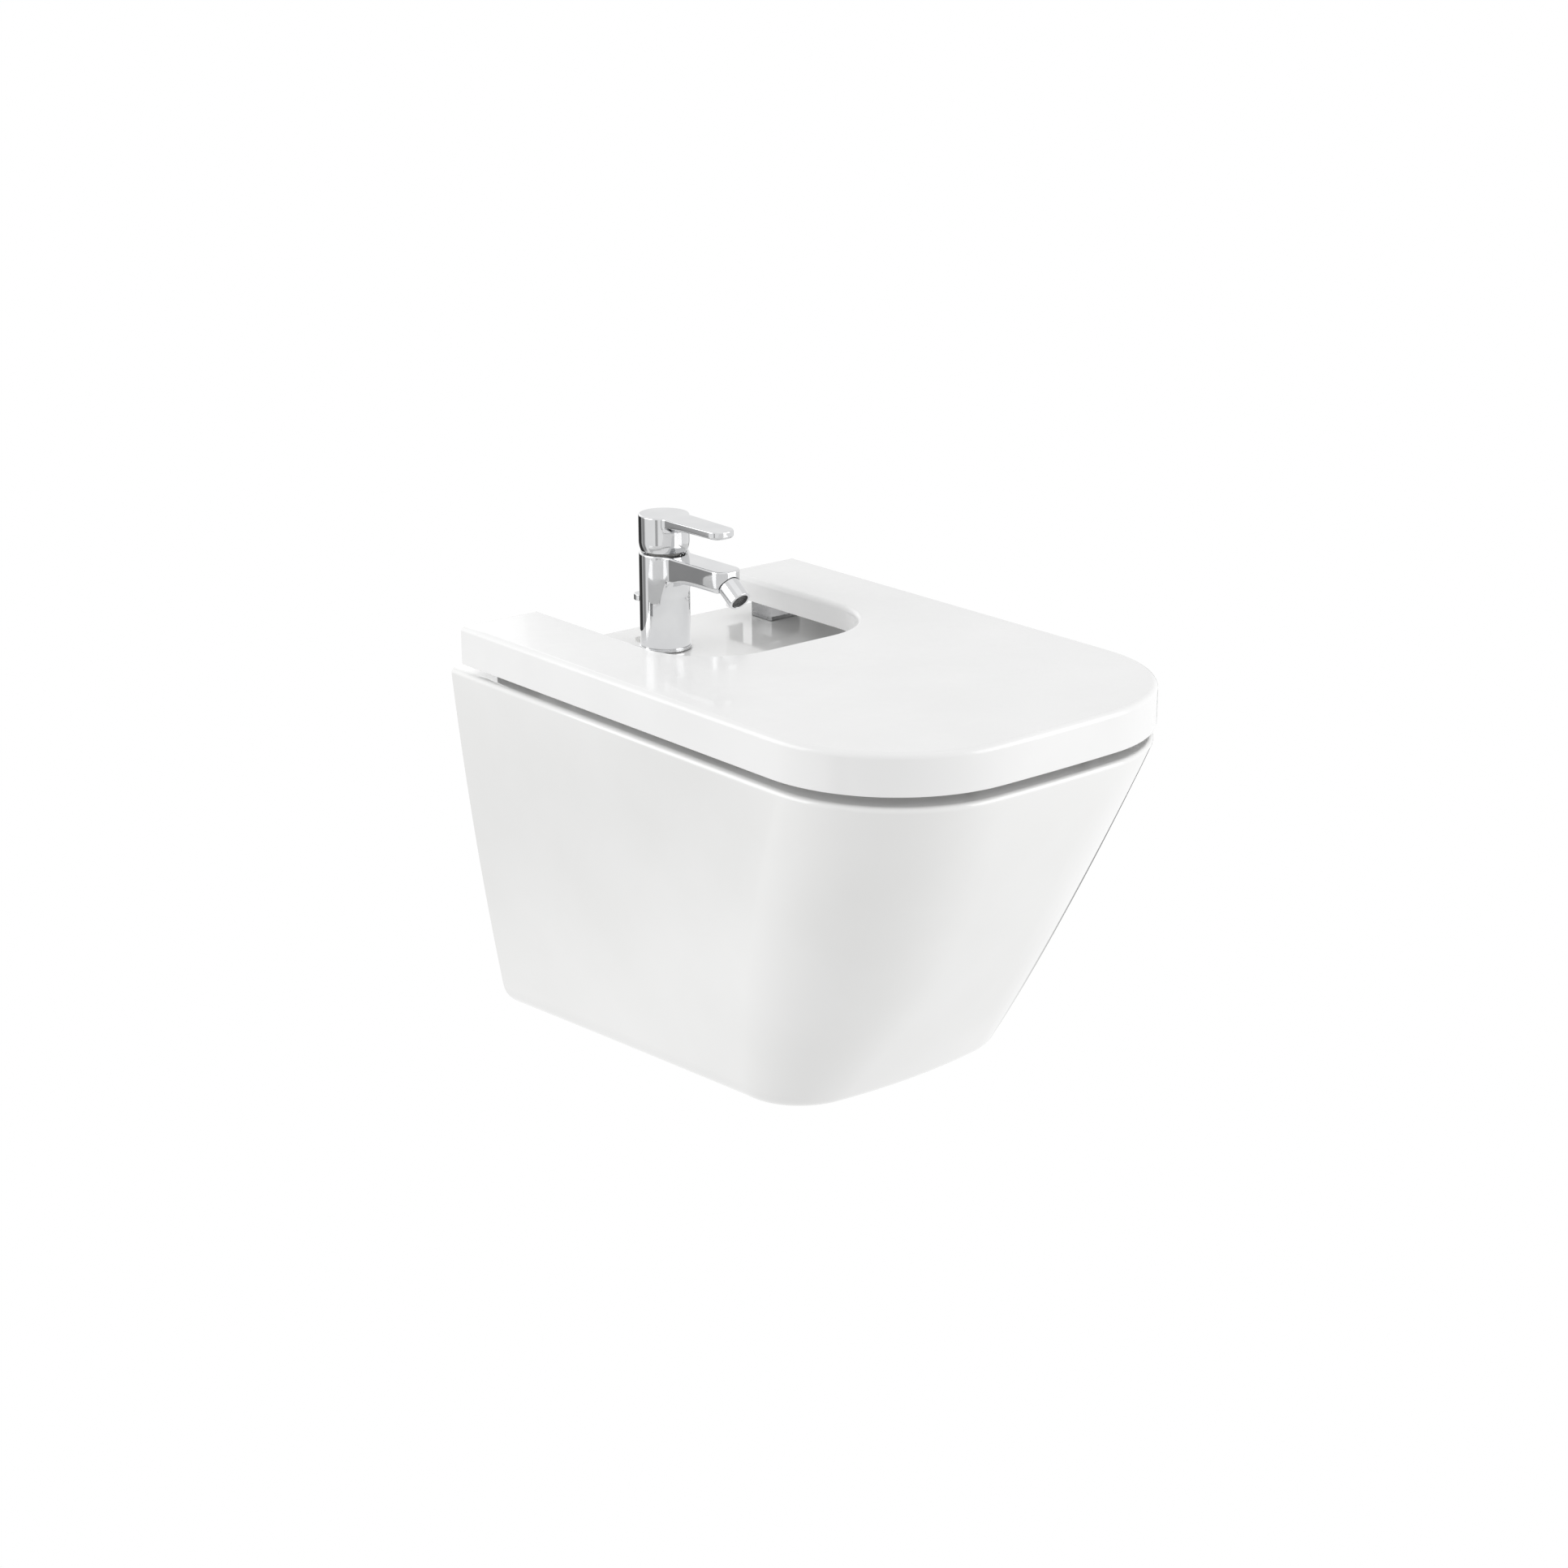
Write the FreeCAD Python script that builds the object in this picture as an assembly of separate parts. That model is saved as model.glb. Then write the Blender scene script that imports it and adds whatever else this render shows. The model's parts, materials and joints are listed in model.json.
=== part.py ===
"""Wall-hung bidet with a notched lid, a single-lever tap and a pop-up waste.

Millimetres. X points right, Y into the wall and Z up. The origin is the point midway
between the two wall bolts, on the face of the wall, so the bowl reaches towards -Y.
"""
import FreeCAD
import Part
import math
import os

# Room between pieces
slip_fit = 0.1            # radial room of pieces that slide or screw together
running_fit = 0.05        # radial room of a pin that turns in its bore
swing_gap = 0.3           # room between bodies that swing past each other
bolt_room = 3.0           # radial room of a bolt in a ceramic hole

# Search for the edges to round
edge_tolerance = 0.01     # furthest that an edge may lie from the face it is sought on
search_margin = 1.0       # margin of the box that it is sought in

# Bowl, outside
rim_height = 85.0         # rim above the wall bolts
bowl_height = 322.7
bowl_half_width = 177.0
bowl_projection = 538.4
bowl_corner_radius = 118.0
bowl_front_bow = 7.8      # how far the front bulges past its corners
bowl_side_taper = 2.5     # how far each side draws in towards the front
rim_rounding = 8.0
shoulder_depth = 10.0     # the sides start to lean in this far below the rim
foot_half_width = 131.8
foot_projection = 385.8
foot_corner_radius = 60.0
foot_front_bow = 18.8
foot_side_taper = 6.2
foot_rounding = 29.2
foot_rise = 3.4           # degrees by which the underside climbs to the front
side_bulge = 3.6          # fullness of the sides at half height
front_bulge = 13.3        # fullness of the front at half height
corner_bulge = 25.0       # fullness of the corner radius at half height

# Bowl, inside
shell_wall = 12.0
basin_wall = 12.0
rear_wall = 16.0
wall_trim = 5.0           # length of the form behind the wall's face, cut off to leave the rear flat
deck_thickness = 22.0
side_rim_width = 39.0     # bowl's side to the basin
basin_rear = 172.0        # wall to the rear edge of the basin
front_rim_width = 38.4    # bowl's front to the basin
basin_corner_radius = 112.0
basin_depth = 120.0
basin_lip_rounding = 7.0
basin_profile = [         # share of the basin's depth, and how far its sides have drawn in there
    (0.0, 0.0),
    (0.45, 8.0),
    (0.80, 24.0),
    (0.95, 46.0),
    (1.0, 74.0),
]
basin_corner_share = 0.9  # share of the draw-in by which the corners tighten
drain_distance = 285.0    # wall to the drain's axis
window_half_width = 104.0  # pipe window in the rear wall
window_top = -45.0
window_height = 150.0
window_corner_radius = 25.0
hatch_half_width = 85.0   # spanner opening in the underside
hatch_rear = 45.0
hatch_length = 105.0

# Wall fixing
wall_bolt_spacing = 180.0
wall_bore_radius = 6.6    # bore of the sleeve that the wall stud passes
wall_sleeve_wall = 2.3
wall_washer_radius = 17.0
wall_washer_thickness = 2.5
wall_nut_flats = 19.0
wall_nut_height = 10.0
wall_nut_bore = 6.2

# Lid
lid_side_overhang = 4.0   # lid past the bowl's sides
lid_rear = 22.0           # wall to the lid's rear edge
lid_front_overhang = 4.2  # lid past the bowl's front
lid_height = 33.4
lid_gap = 8.6             # rim to the lid's lower edge
lid_corner_radius = 122.0
lid_front_bow = 7.8
lid_side_taper = 2.5
lid_wall = 4.0
lid_edge_rounding = 4.8
lid_heel_rounding = 4.0   # lower rear edge, which swings past the rim
notch_hinge_gap = 19.0    # notch to the hinge block's inner face
notch_front = 241.0       # wall to the notch's front edge
notch_corner_radius = 68.0
notch_skirt = 21.5        # height of the wall round the notch

# Lid buffers
buffer_radius = 7.0
buffer_stem_radius = 3.0
buffer_stem_length = 8.0
buffer_boss_radius = 9.0
buffer_head = 11.5
buffer_side_distance = 150.0
buffer_side_edge = 23.0   # bowl's side to the side buffers
buffer_front_edge = 24.4  # bowl's front to the front buffers
buffer_front_offset = 60.0

# Lid hinges
hinge_side_distance = 22.0  # bowl's side to the block's outer face
hinge_block_width = 33.0
hinge_block_front = 62.5   # wall to the block's front face
hinge_block_length = 28.0
hinge_block_height = 15.0
hinge_axis_distance = 42.0  # wall to the hinge axis
hinge_axis_height = 28.0   # rim to the hinge axis
hinge_ear_width = 9.0
hinge_barrel_radius = 6.5
hinge_pin_radius = 3.0
hinge_pin_head_radius = 5.0
hinge_pin_head = 2.0
hinge_leaf_thickness = 3.0
hinge_leaf_front = 82.0    # wall to the leaf's front edge
leaf_screw_radius = 2.0
leaf_screw_length = 6.0
leaf_screw_head_radius = 4.0
leaf_screw_head = 2.0
leaf_screw_edge = 8.0      # first screw to the leaf's front edge
leaf_screw_pitch = 16.0
hinge_stud_radius = 4.0
hinge_stud_grip = 9.0      # stud length inside the block
hinge_stud_tail = 42.0     # stud length below the deck
hinge_washer_radius = 12.0
hinge_washer_thickness = 2.0
hinge_gasket_thickness = 3.0
hinge_nut_flats = 13.0
hinge_nut_height = 8.0

# Tap body
tap_distance = 65.9        # wall to the tap's axis
tap_radius = 21.85
tap_height = 85.0          # deck to the tap body's flat top
tap_edge_rounding = 1.5
tap_hole_radius = 17.5
base_seal_thickness = 0.8
base_seal_radius = 21.0
base_ring_thickness = 2.2
base_ring_radius = 22.9
base_ring_bevel = 0.6
shank_radius = 16.5        # spigot of the body in the deck hole
shank_length = 12.0
inlet_radius = 4.8         # threaded inlets for the supply hoses
inlet_depth = 24.0
inlet_offset = 8.0
inlet_rear_offset = 2.0
feed_radius = 3.0          # channels from the inlets to the cartridge
tap_stud_radius = 4.0
tap_stud_offset = 8.5      # stud in front of the tap's axis
tap_stud_grip = 10.0
tap_stud_tail = 36.0
clamp_gasket_thickness = 2.0
clamp_washer_thickness = 3.0
clamp_washer_radius = 24.0
clamp_slot_half = 14.0     # slot for the hoses, open to the rear
clamp_slot_front = 3.4     # slot in front of the tap's axis
tap_nut_flats = 13.0
tap_nut_height = 18.0

# Spout
spout_half_width = 13.35
spout_reach = 92.6         # tap axis to the tip
spout_tip_bow = 0.8
spout_depth = 20.0
spout_tip_radius = 7.0
spout_edge_rounding = 6.0  # lower edges
spout_root_rounding = 12.0
waterway_radius = 3.2
waterway_floor = 1.6       # metal below the waterway at the column

# Spray nozzle on its ball joint
nozzle_angle = 36.0        # degrees below the level
nozzle_pivot_reach = 88.8  # tap axis to the ball's centre
nozzle_pivot_drop = 14.4   # tap body's top to the ball's centre
nozzle_radius = 9.75
nozzle_front = 16.4        # ball centre to the outlet
nozzle_back = 4.5          # ball centre to the nozzle's rear end
nozzle_wall = 1.35
cup_room = 0.6             # nozzle to the hollow at the spout's end
cup_lip = 2.0              # ball centre in front of the spout's slanted end
lip_cut = 40.0
ball_radius = 5.5
ball_stem_radius = 2.8
ball_stem_length = 14.0
ball_bore = 1.6
friction_ring_wall = 0.9
friction_ring_length = 5.6
collar_radius = 7.6
nozzle_web = 8.0           # ball centre to the front of the nozzle's web
nozzle_throat = 3.5
aerator_length = 5.6
aerator_hole = 1.1
aerator_hole_circle = 5.0
aerator_hole_count = 8
screen_thickness = 0.8
screen_pitch = 1.9
screen_bar = 0.7
screen_rim = 0.9

# Cartridge
pivot_above_tap = 10.0     # tap body's top to the lever's pivot
cartridge_radius = 17.5
cartridge_floor = 41.0     # deck to the cartridge's seat
cartridge_height = 33.0
neck_radius = 13.5
neck_top = 1.5             # pivot to the top of the neck
cartridge_nut_height = 5.0
disc_radius = 14.6
disc_thickness = 4.0
disc_port = 3.0
carrier_radius = 11.0
carrier_top = 4.0          # pivot to the carrier's top
carrier_slot_half = 9.0
carrier_slot_depth = 8.5   # slot below the pivot
stem_half = 4.0            # half side of the square stem
stem_bottom = 6.0          # stem below the pivot
stem_side_room = 0.25
stem_pin_radius = 1.6
stem_pin_half = 10.4

# Lever handle
handle_height = 32.4       # tap body's top to the handle's top
handle_wall = 2.2
handle_skirt = 8.0         # ball-shaped skirt below the pivot
handle_roof = 8.0
handle_edge_rounding = 1.2
lever_reach = 86.0         # tap axis to the lever's tip
lever_half_width = 14.0
lever_taper = 2.2          # how far each side draws in towards the tip
lever_tip_bow = 2.5
lever_tip_radius = 9.0
lever_thickness = 7.0
lever_droop = 1.4          # degrees by which the top falls to the front
lever_edge_rounding = 2.5  # lower edges
lever_root_rounding = 6.5
hub_radius = 8.5
hub_length = 6.0
grub_radius = 2.5
grub_length = 9.0

# Pop-up lift rod
rod_offset = 31.0          # lift rod behind the tap's axis
rod_radius = 2.5
rod_bottom = -12.0         # lower end of the lift rod
knob_radius = 8.0
knob_height = 5.6
knob_bevel = 1.2
knob_above_deck = 38.5     # deck to the middle of the knob when it is pushed down
guide_radius = 5.5
guide_flange_radius = 7.5
guide_flange = 1.2
clamp_half_width = 6.0
clamp_height = 14.0
clamp_depth = 4.5          # clamp in front of and behind the rod's axis
clamp_above_end = 4.0      # clamp above the rod's lower end
clamp_screw_radius = 2.0
clamp_screw_reach = 2.0    # clamp screw inside the clamp
clamp_screw_head_radius = 4.5
clamp_screw_head = 3.0
strap_half_width = 6.0
strap_thickness = 2.0
strap_end = 9.0            # strap past the pivot rod's hole
strap_hole_room = 1.4

# Pivot rod
pivot_depth = 63.0         # basin floor to the pivot rod's ball
pivot_reach = 32.0         # drain axis to the ball
pivot_rod_radius = 2.5
pivot_rod_slope = 5.3      # degrees below the level at rest
pivot_rod_tail = 6.0       # pivot rod past the strap
pivot_rod_nose = 4.0       # pivot rod past the drain's axis
pivot_ball_radius = 6.0
pivot_passage = 5.0        # radius of the passage from the ball to the waste
pivot_boss_radius = 10.5
pivot_boss_end = 10.0      # ball centre to the end of the boss
pivot_seat_start = 3.0     # ball centre to the seat ring
pivot_seat_bore = 4.6
pivot_nut_radius = 14.0
pivot_nut_wall = 3.0
pivot_nut_skirt = 8.0
pivot_nut_bore = 5.4

# Waste
waste_flange_radius = 32.0
waste_flange_thickness = 3.0
waste_gasket_thickness = 1.0
waste_hole_radius = 23.0
waste_bore = 17.5
waste_thread_radius = 20.5
waste_neck_length = 36.0
waste_seal_radius = 30.0
waste_seal_thickness = 3.0
waste_collar_thickness = 3.0
waste_socket_wall = 4.0
waste_socket_length = 24.0
waste_body_length = 66.0
waste_body_wall = 2.5
tail_radius = 16.0
tail_wall = 1.5
tail_above_foot = 74.7     # bowl's lowest point to the tail's lower end
tail_grip = 8.0            # spigot inside the waste body
tail_spigot_step = 0.3     # spigot's radius less than the pipe's
tail_shoulder_gap = 1.0    # nut to the pipe below its spigot
tail_washer_thickness = 2.0
tail_nut_flats = 46.0
tail_nut_skirt = 5.0       # nut round the waste body
tail_nut_lip = 5.0         # nut below the washer
plug_radius = 21.0
plug_thickness = 4.5
plug_dome = 2.0
plug_stem_radius = 4.5
plug_stem_room = 0.5       # stem above the pivot rod
plug_fin_room = 0.6        # fins inside the waste's bore
plug_fin_thickness = 2.0
plug_fin_height = 22.0
plug_seal_section = 1.6
plug_seal_width = 2.4
plug_lift = 5.7            # plug's travel from open to shut

# Heights and places that follow from the sizes above
deck = rim_height
deck_under = deck - deck_thickness
shoulder_z = rim_height - shoulder_depth
foot_z = rim_height - bowl_height
basin_floor = rim_height - basin_depth
basin_half_width = bowl_half_width - side_rim_width
basin_front = bowl_projection - front_rim_width  # wall to the front edge of the basin
drain_y = -drain_distance
lid_half_width = bowl_half_width + lid_side_overhang
lid_depth = bowl_projection + lid_front_overhang - lid_rear
lid_bottom = rim_height + lid_gap
lid_top = lid_bottom + lid_height
lid_roof = lid_top - lid_wall
lid_front = lid_rear + lid_depth
buffer_top = deck + swing_gap + buffer_head
buffer_side_offset = bowl_half_width - buffer_side_edge
buffer_front_distance = bowl_projection - buffer_front_edge
hinge_y = -hinge_axis_distance
hinge_z = deck + hinge_axis_height
hinge_block_inner = bowl_half_width - hinge_side_distance - hinge_block_width
hinge_mid = hinge_block_inner + hinge_block_width / 2
notch_half_width = hinge_block_inner - notch_hinge_gap
hinge_block_top = deck + hinge_block_height
hinge_stud_y = -hinge_block_front + hinge_block_length / 2
leaf_bottom = lid_roof - hinge_leaf_thickness
tap_y = -tap_distance
tap_bottom = deck + base_seal_thickness + base_ring_thickness
tap_top = deck + tap_height
pivot_z = tap_top + pivot_above_tap
handle_ceiling = tap_top + handle_height
hub_bottom = handle_ceiling - handle_roof - hub_length
cartridge_base = deck + cartridge_floor
cartridge_shoulder = cartridge_base + cartridge_height
upper_disc_z = cartridge_base + disc_thickness + slip_fit
carrier_bottom = upper_disc_z + disc_thickness
nozzle_centre = FreeCAD.Vector(0, tap_y - nozzle_pivot_reach, tap_top - nozzle_pivot_drop)
nozzle_axis = FreeCAD.Vector(0, -math.cos(math.radians(nozzle_angle)), -math.sin(math.radians(nozzle_angle)))
ring_inner = ball_radius + slip_fit
ring_outer = ring_inner + friction_ring_wall
socket_radius = ring_outer + slip_fit
screen_start = nozzle_web + aerator_length
rod_y = tap_y + rod_offset
knob_bottom = deck + knob_above_deck - knob_height / 2
clamp_bottom = rod_bottom + clamp_above_end
strap_y = rod_y + clamp_depth
pivot_rod_z = basin_floor - pivot_depth
pivot_rod_y = drain_y + pivot_reach
pivot_boss_y = pivot_rod_y + pivot_boss_end
slope = math.tan(math.radians(pivot_rod_slope))
strap_hole_z = pivot_rod_z - (strap_y + strap_thickness / 2 - pivot_rod_y) * slope
ceramic_under = basin_floor - basin_wall
waste_collar_top = ceramic_under - waste_seal_thickness
waste_bottom = waste_collar_top - waste_body_length
waste_outer = waste_bore + waste_body_wall
tail_length = waste_bottom + tail_grip - tail_above_foot - foot_z
plug_bottom = basin_floor + plug_seal_section + plug_lift + swing_gap
X_AXIS = FreeCAD.Vector(1, 0, 0)
Y_AXIS = FreeCAD.Vector(0, 1, 0)
Z_AXIS = FreeCAD.Vector(0, 0, 1)


def point(x, y, z=0.0):
    return FreeCAD.Vector(x, y, z)


def box(x_low, x_high, y_low, y_high, z_low, z_high):
    return Part.makeBox(x_high - x_low, y_high - y_low, z_high - z_low, point(x_low, y_low, z_low))


def rod(radius, start, length, axis=Z_AXIS):
    return Part.makeCylinder(radius, length, start, axis)


def ring(outer, inner, start, length, axis=Z_AXIS):
    return rod(outer, start, length, axis).cut(rod(inner, start, length, axis))


def ball(radius, centre):
    return Part.makeSphere(radius, centre)


def hexagon(flats, start, length, axis=Z_AXIS):
    """Six-sided bar, as wide across its flats as a spanner's jaw."""
    corner = flats / math.sqrt(3)
    angles = [math.radians(60 * step) for step in range(7)]
    outline = Part.makePolygon([point(corner * math.cos(a), corner * math.sin(a)) for a in angles])
    bar = Part.Face(outline).extrude(point(0, 0, length))
    bar.Placement = FreeCAD.Placement(start, FreeCAD.Rotation(Z_AXIS, axis))
    return bar


def nut(flats, bore, start, length, axis=Z_AXIS):
    return hexagon(flats, start, length, axis).cut(rod(bore, start, length, axis))


def along_nozzle(distance):
    return nozzle_centre + nozzle_axis * distance


def mirrored(shape):
    return shape.mirror(point(0, 0, 0), X_AXIS)


def pair(shape):
    """The same piece on the right and on the left."""
    return Part.makeCompound([shape, mirrored(shape)])


def export(name, shape):
    cleaned = shape.removeSplitter()
    cleaned.exportStep("parts/" + name + ".step")


def tongue_wire(half_width, rear, front, corner_radius, bow, taper):
    """Outline with a straight rear edge, drawn-in sides, round corners and a bowed front.

    Each corner arc is tangent to its side and to the front arc.
    """
    front_half = half_width - taper
    front_radius = (front_half ** 2 + bow ** 2) / (2 * bow)
    front_centre = point(0, front + front_radius)
    side_start = point(half_width, rear)
    side_way = point(-taper, front - rear)
    side_way.normalize()
    inward = point(side_way.y, -side_way.x)
    offset_start = side_start + inward * corner_radius
    from_centre = offset_start - front_centre
    along = from_centre.dot(side_way)
    reach = along ** 2 - from_centre.dot(from_centre) + (front_radius - corner_radius) ** 2
    corner_centre = offset_start + side_way * (math.sqrt(reach) - along)
    side_end = corner_centre - inward * corner_radius
    to_front = corner_centre - front_centre
    to_front.normalize()
    front_end = front_centre + to_front * front_radius
    halfway = to_front - inward
    halfway.normalize()
    corner_middle = corner_centre + halfway * corner_radius

    def other(place):
        return point(-place.x, place.y)

    edges = [
        Part.LineSegment(side_start, side_end),
        Part.Arc(side_end, corner_middle, front_end),
        Part.Arc(front_end, point(0, front), other(front_end)),
        Part.Arc(other(front_end), other(corner_middle), other(side_end)),
        Part.LineSegment(other(side_end), other(side_start)),
        Part.LineSegment(other(side_start), side_start),
    ]
    return Part.Wire([edge.toShape() for edge in edges])


def rounded_wire(x_low, x_high, y_low, y_high, radius, z):
    """Rectangle with four round corners, level at height z."""
    turn = radius * (1 - math.sqrt(0.5))
    edges = [
        Part.LineSegment(point(x_low + radius, y_low, z), point(x_high - radius, y_low, z)),
        Part.Arc(point(x_high - radius, y_low, z), point(x_high - turn, y_low + turn, z),
                 point(x_high, y_low + radius, z)),
        Part.LineSegment(point(x_high, y_low + radius, z), point(x_high, y_high - radius, z)),
        Part.Arc(point(x_high, y_high - radius, z), point(x_high - turn, y_high - turn, z),
                 point(x_high - radius, y_high, z)),
        Part.LineSegment(point(x_high - radius, y_high, z), point(x_low + radius, y_high, z)),
        Part.Arc(point(x_low + radius, y_high, z), point(x_low + turn, y_high - turn, z),
                 point(x_low, y_high - radius, z)),
        Part.LineSegment(point(x_low, y_high - radius, z), point(x_low, y_low + radius, z)),
        Part.Arc(point(x_low, y_low + radius, z), point(x_low + turn, y_low + turn, z),
                 point(x_low + radius, y_low, z)),
    ]
    return Part.Wire([edge.toShape() for edge in edges])


def prism(wire, z_low, z_high):
    face = Part.Face(wire)
    face.translate(point(0, 0, z_low))
    return face.extrude(point(0, 0, z_high - z_low))


def edges_where(shape, test):
    return [edge for edge in shape.Edges if test(edge)]


def edge_level(edge, z):
    return abs(edge.BoundBox.ZMin - z) < edge_tolerance and abs(edge.BoundBox.ZMax - z) < edge_tolerance


def swelling(top, foot, bulge, share):
    """Value on the way from the shoulder (0) to the foot (1), fuller by bulge half way."""
    return top + (foot - top) * share + 4 * bulge * share * (1 - share)


def bowl_section(level, inset, rear):
    """Outline of the bowl at a level, inset from the outer face.

    Below the shoulder the outline tips up to the front, by foot_rise at the foot.
    """
    share = (shoulder_z - level) / (shoulder_z - foot_z)
    wire = tongue_wire(
        swelling(bowl_half_width, foot_half_width, side_bulge, share) - inset,
        rear,
        -swelling(bowl_projection, foot_projection, front_bulge, share) + inset,
        swelling(bowl_corner_radius, foot_corner_radius, corner_bulge, share) - inset,
        swelling(bowl_front_bow, foot_front_bow, 0, share),
        swelling(bowl_side_taper, foot_side_taper, 0, share),
    )
    return wire, share


def bowl_form(top, inset, rear):
    """Solid of the bowl's outer form from a level top down, inset from the outer face."""
    bottom = foot_z + inset
    wires = []
    for step in (0.0, 0.5, 1.0):
        level = top + (bottom - top) * step
        wire, share = bowl_section(level, inset, rear)
        if step > 0:
            wire.rotate(point(0, 0, 0), X_AXIS, -foot_rise * share)
        wire.translate(point(0, 0, level))
        wires.append(wire)
    form = Part.makeLoft(wires, True, False)
    foot_edges = edges_where(form, lambda edge: edge.BoundBox.ZMax < bottom + foot_lift(edge) and
                             edge.BoundBox.YMin < rear - search_margin)
    return form.makeFillet(foot_rounding - inset, foot_edges)


def foot_lift(edge):
    """Height that the sloping underside gains at the front end of an edge."""
    return search_margin - edge.BoundBox.YMin * math.tan(math.radians(foot_rise))


def basin_form(growth, floor_drop):
    """Solid of the basin's hollow, grown on all sides by the thickness of its wall."""
    wires = []
    for share, drawn_in in basin_profile:
        inset = drawn_in - growth
        depth = (basin_depth + floor_drop) * share
        wires.append(rounded_wire(
            -basin_half_width + inset, basin_half_width - inset,
            -basin_front + inset, -basin_rear - inset,
            basin_corner_radius - drawn_in * basin_corner_share + growth, rim_height - depth))
    return Part.makeLoft(wires, True, False)


def make_bowl():
    outer = bowl_form(rim_height, 0, wall_trim)
    rim = edges_where(outer, lambda edge: edge_level(edge, rim_height) and
                      edge.BoundBox.YMin < -search_margin)
    outer = outer.makeFillet(rim_rounding, rim)
    behind_wall = box(-2 * bowl_half_width, 2 * bowl_half_width, 0, 2 * wall_trim, 2 * foot_z, 2 * rim_height)
    outer = outer.cut(behind_wall)
    cavity = bowl_form(deck_under, shell_wall, -rear_wall)
    cavity = cavity.cut(basin_form(basin_wall, basin_wall))
    bowl = outer.cut(cavity).cut(basin_form(0, 0))
    lip = edges_where(bowl, lambda edge: edge_level(edge, rim_height) and in_basin_outline(edge.BoundBox))
    bowl = bowl.makeFillet(basin_lip_rounding, lip)
    return bowl.cut(wall_openings() + deck_holes() + drain_holes())


def in_basin_outline(bounds):
    inside_y = -basin_front - search_margin < bounds.YMin and bounds.YMax < -basin_rear + search_margin
    widest = basin_half_width + search_margin
    inside_x = -widest < bounds.XMin and bounds.XMax < widest
    return inside_y and inside_x


def wall_openings():
    """Pipe window and bolt holes in the rear wall, and the spanner opening in the underside."""
    outline = rounded_wire(-window_half_width, window_half_width, window_top - window_height, window_top,
                           window_corner_radius, 0)
    window = prism(outline, -rear_wall, 2 * rear_wall)
    window.rotate(point(0, 0, 0), X_AXIS, 90)
    outline = rounded_wire(-hatch_half_width, hatch_half_width, -hatch_rear - hatch_length, -hatch_rear,
                           window_corner_radius, 0)
    hatch = prism(outline, foot_z - shell_wall, foot_z + foot_rounding + shell_wall)
    sleeve_hole = wall_bore_radius + wall_sleeve_wall + slip_fit
    bolt_hole = rod(sleeve_hole, point(wall_bolt_spacing / 2, rear_wall, 0), 3 * rear_wall, -Y_AXIS)
    return [window, hatch, bolt_hole, mirrored(bolt_hole)]


def deck_holes():
    """Holes through the deck for the tap, the lift rod's guide and the hinge studs."""
    below = deck_under - deck_thickness
    through = 3 * deck_thickness
    stud_hole = rod(hinge_stud_radius + bolt_room, point(hinge_mid, hinge_stud_y, below), through)
    return [
        rod(tap_hole_radius, point(0, tap_y, below), through),
        rod(guide_radius + slip_fit, point(0, rod_y, below), through),
        stud_hole,
        mirrored(stud_hole),
    ]


def drain_holes():
    """Waste hole in the basin's floor and the shallow seat of the waste's flange."""
    seat_z = basin_floor - waste_flange_thickness - waste_gasket_thickness
    return [
        rod(waste_hole_radius, point(0, drain_y, ceramic_under - basin_wall), 3 * basin_wall),
        rod(waste_flange_radius + slip_fit, point(0, drain_y, seat_z), basin_depth),
    ]


def make_wall_fixing():
    place = point(wall_bolt_spacing / 2, 0, 0)
    sleeve_radius = wall_bore_radius + wall_sleeve_wall
    export("wall_sleeves", pair(ring(sleeve_radius, wall_bore_radius, place, rear_wall, -Y_AXIS)))
    place.y -= rear_wall
    washer = ring(wall_washer_radius, wall_bore_radius, place, wall_washer_thickness, -Y_AXIS)
    export("wall_washers", pair(washer))
    place.y -= wall_washer_thickness
    export("wall_nuts", pair(nut(wall_nut_flats, wall_nut_bore, place, wall_nut_height, -Y_AXIS)))


def lid_outline(inset):
    return tongue_wire(lid_half_width - inset, -lid_rear - inset, -lid_front + inset,
                       lid_corner_radius - inset, lid_front_bow, lid_side_taper)


def notch_outline(growth):
    half = notch_half_width + growth
    radius = notch_corner_radius + growth
    return rounded_wire(-half, half, -notch_front - growth, 2 * radius, radius, 0)


def buffer_places():
    return [
        (buffer_side_offset, -buffer_side_distance),
        (-buffer_side_offset, -buffer_side_distance),
        (buffer_front_offset, -buffer_front_distance),
        (-buffer_front_offset, -buffer_front_distance),
    ]


def leaf_screw_places():
    first = -hinge_leaf_front + leaf_screw_edge
    return [(hinge_mid, first), (hinge_mid, first + leaf_screw_pitch)]


def make_lid():
    lid = prism(lid_outline(0), lid_bottom, lid_top)
    heel = edges_where(lid, lambda edge: edge_level(edge, lid_bottom) and
                       edge.BoundBox.YMin > -lid_rear - search_margin)
    lid = lid.makeFillet(lid_heel_rounding, heel)
    lid = lid.cut(prism(notch_outline(0), lid_bottom - lid_wall, lid_top + lid_wall))
    lid = lid.makeFillet(lid_edge_rounding, edges_where(lid, lambda edge: edge_level(edge, lid_top)))
    hollow = prism(lid_outline(lid_wall), lid_bottom - lid_wall, lid_roof)
    hollow = hollow.cut(prism(notch_outline(lid_wall), lid_top - notch_skirt, lid_top))
    lid = lid.cut(hollow)
    boss_height = lid_roof - buffer_top
    bosses = [rod(buffer_boss_radius, point(x, y, buffer_top), boss_height) for x, y in buffer_places()]
    return lid.fuse(bosses).cut(lid_holes())


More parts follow.
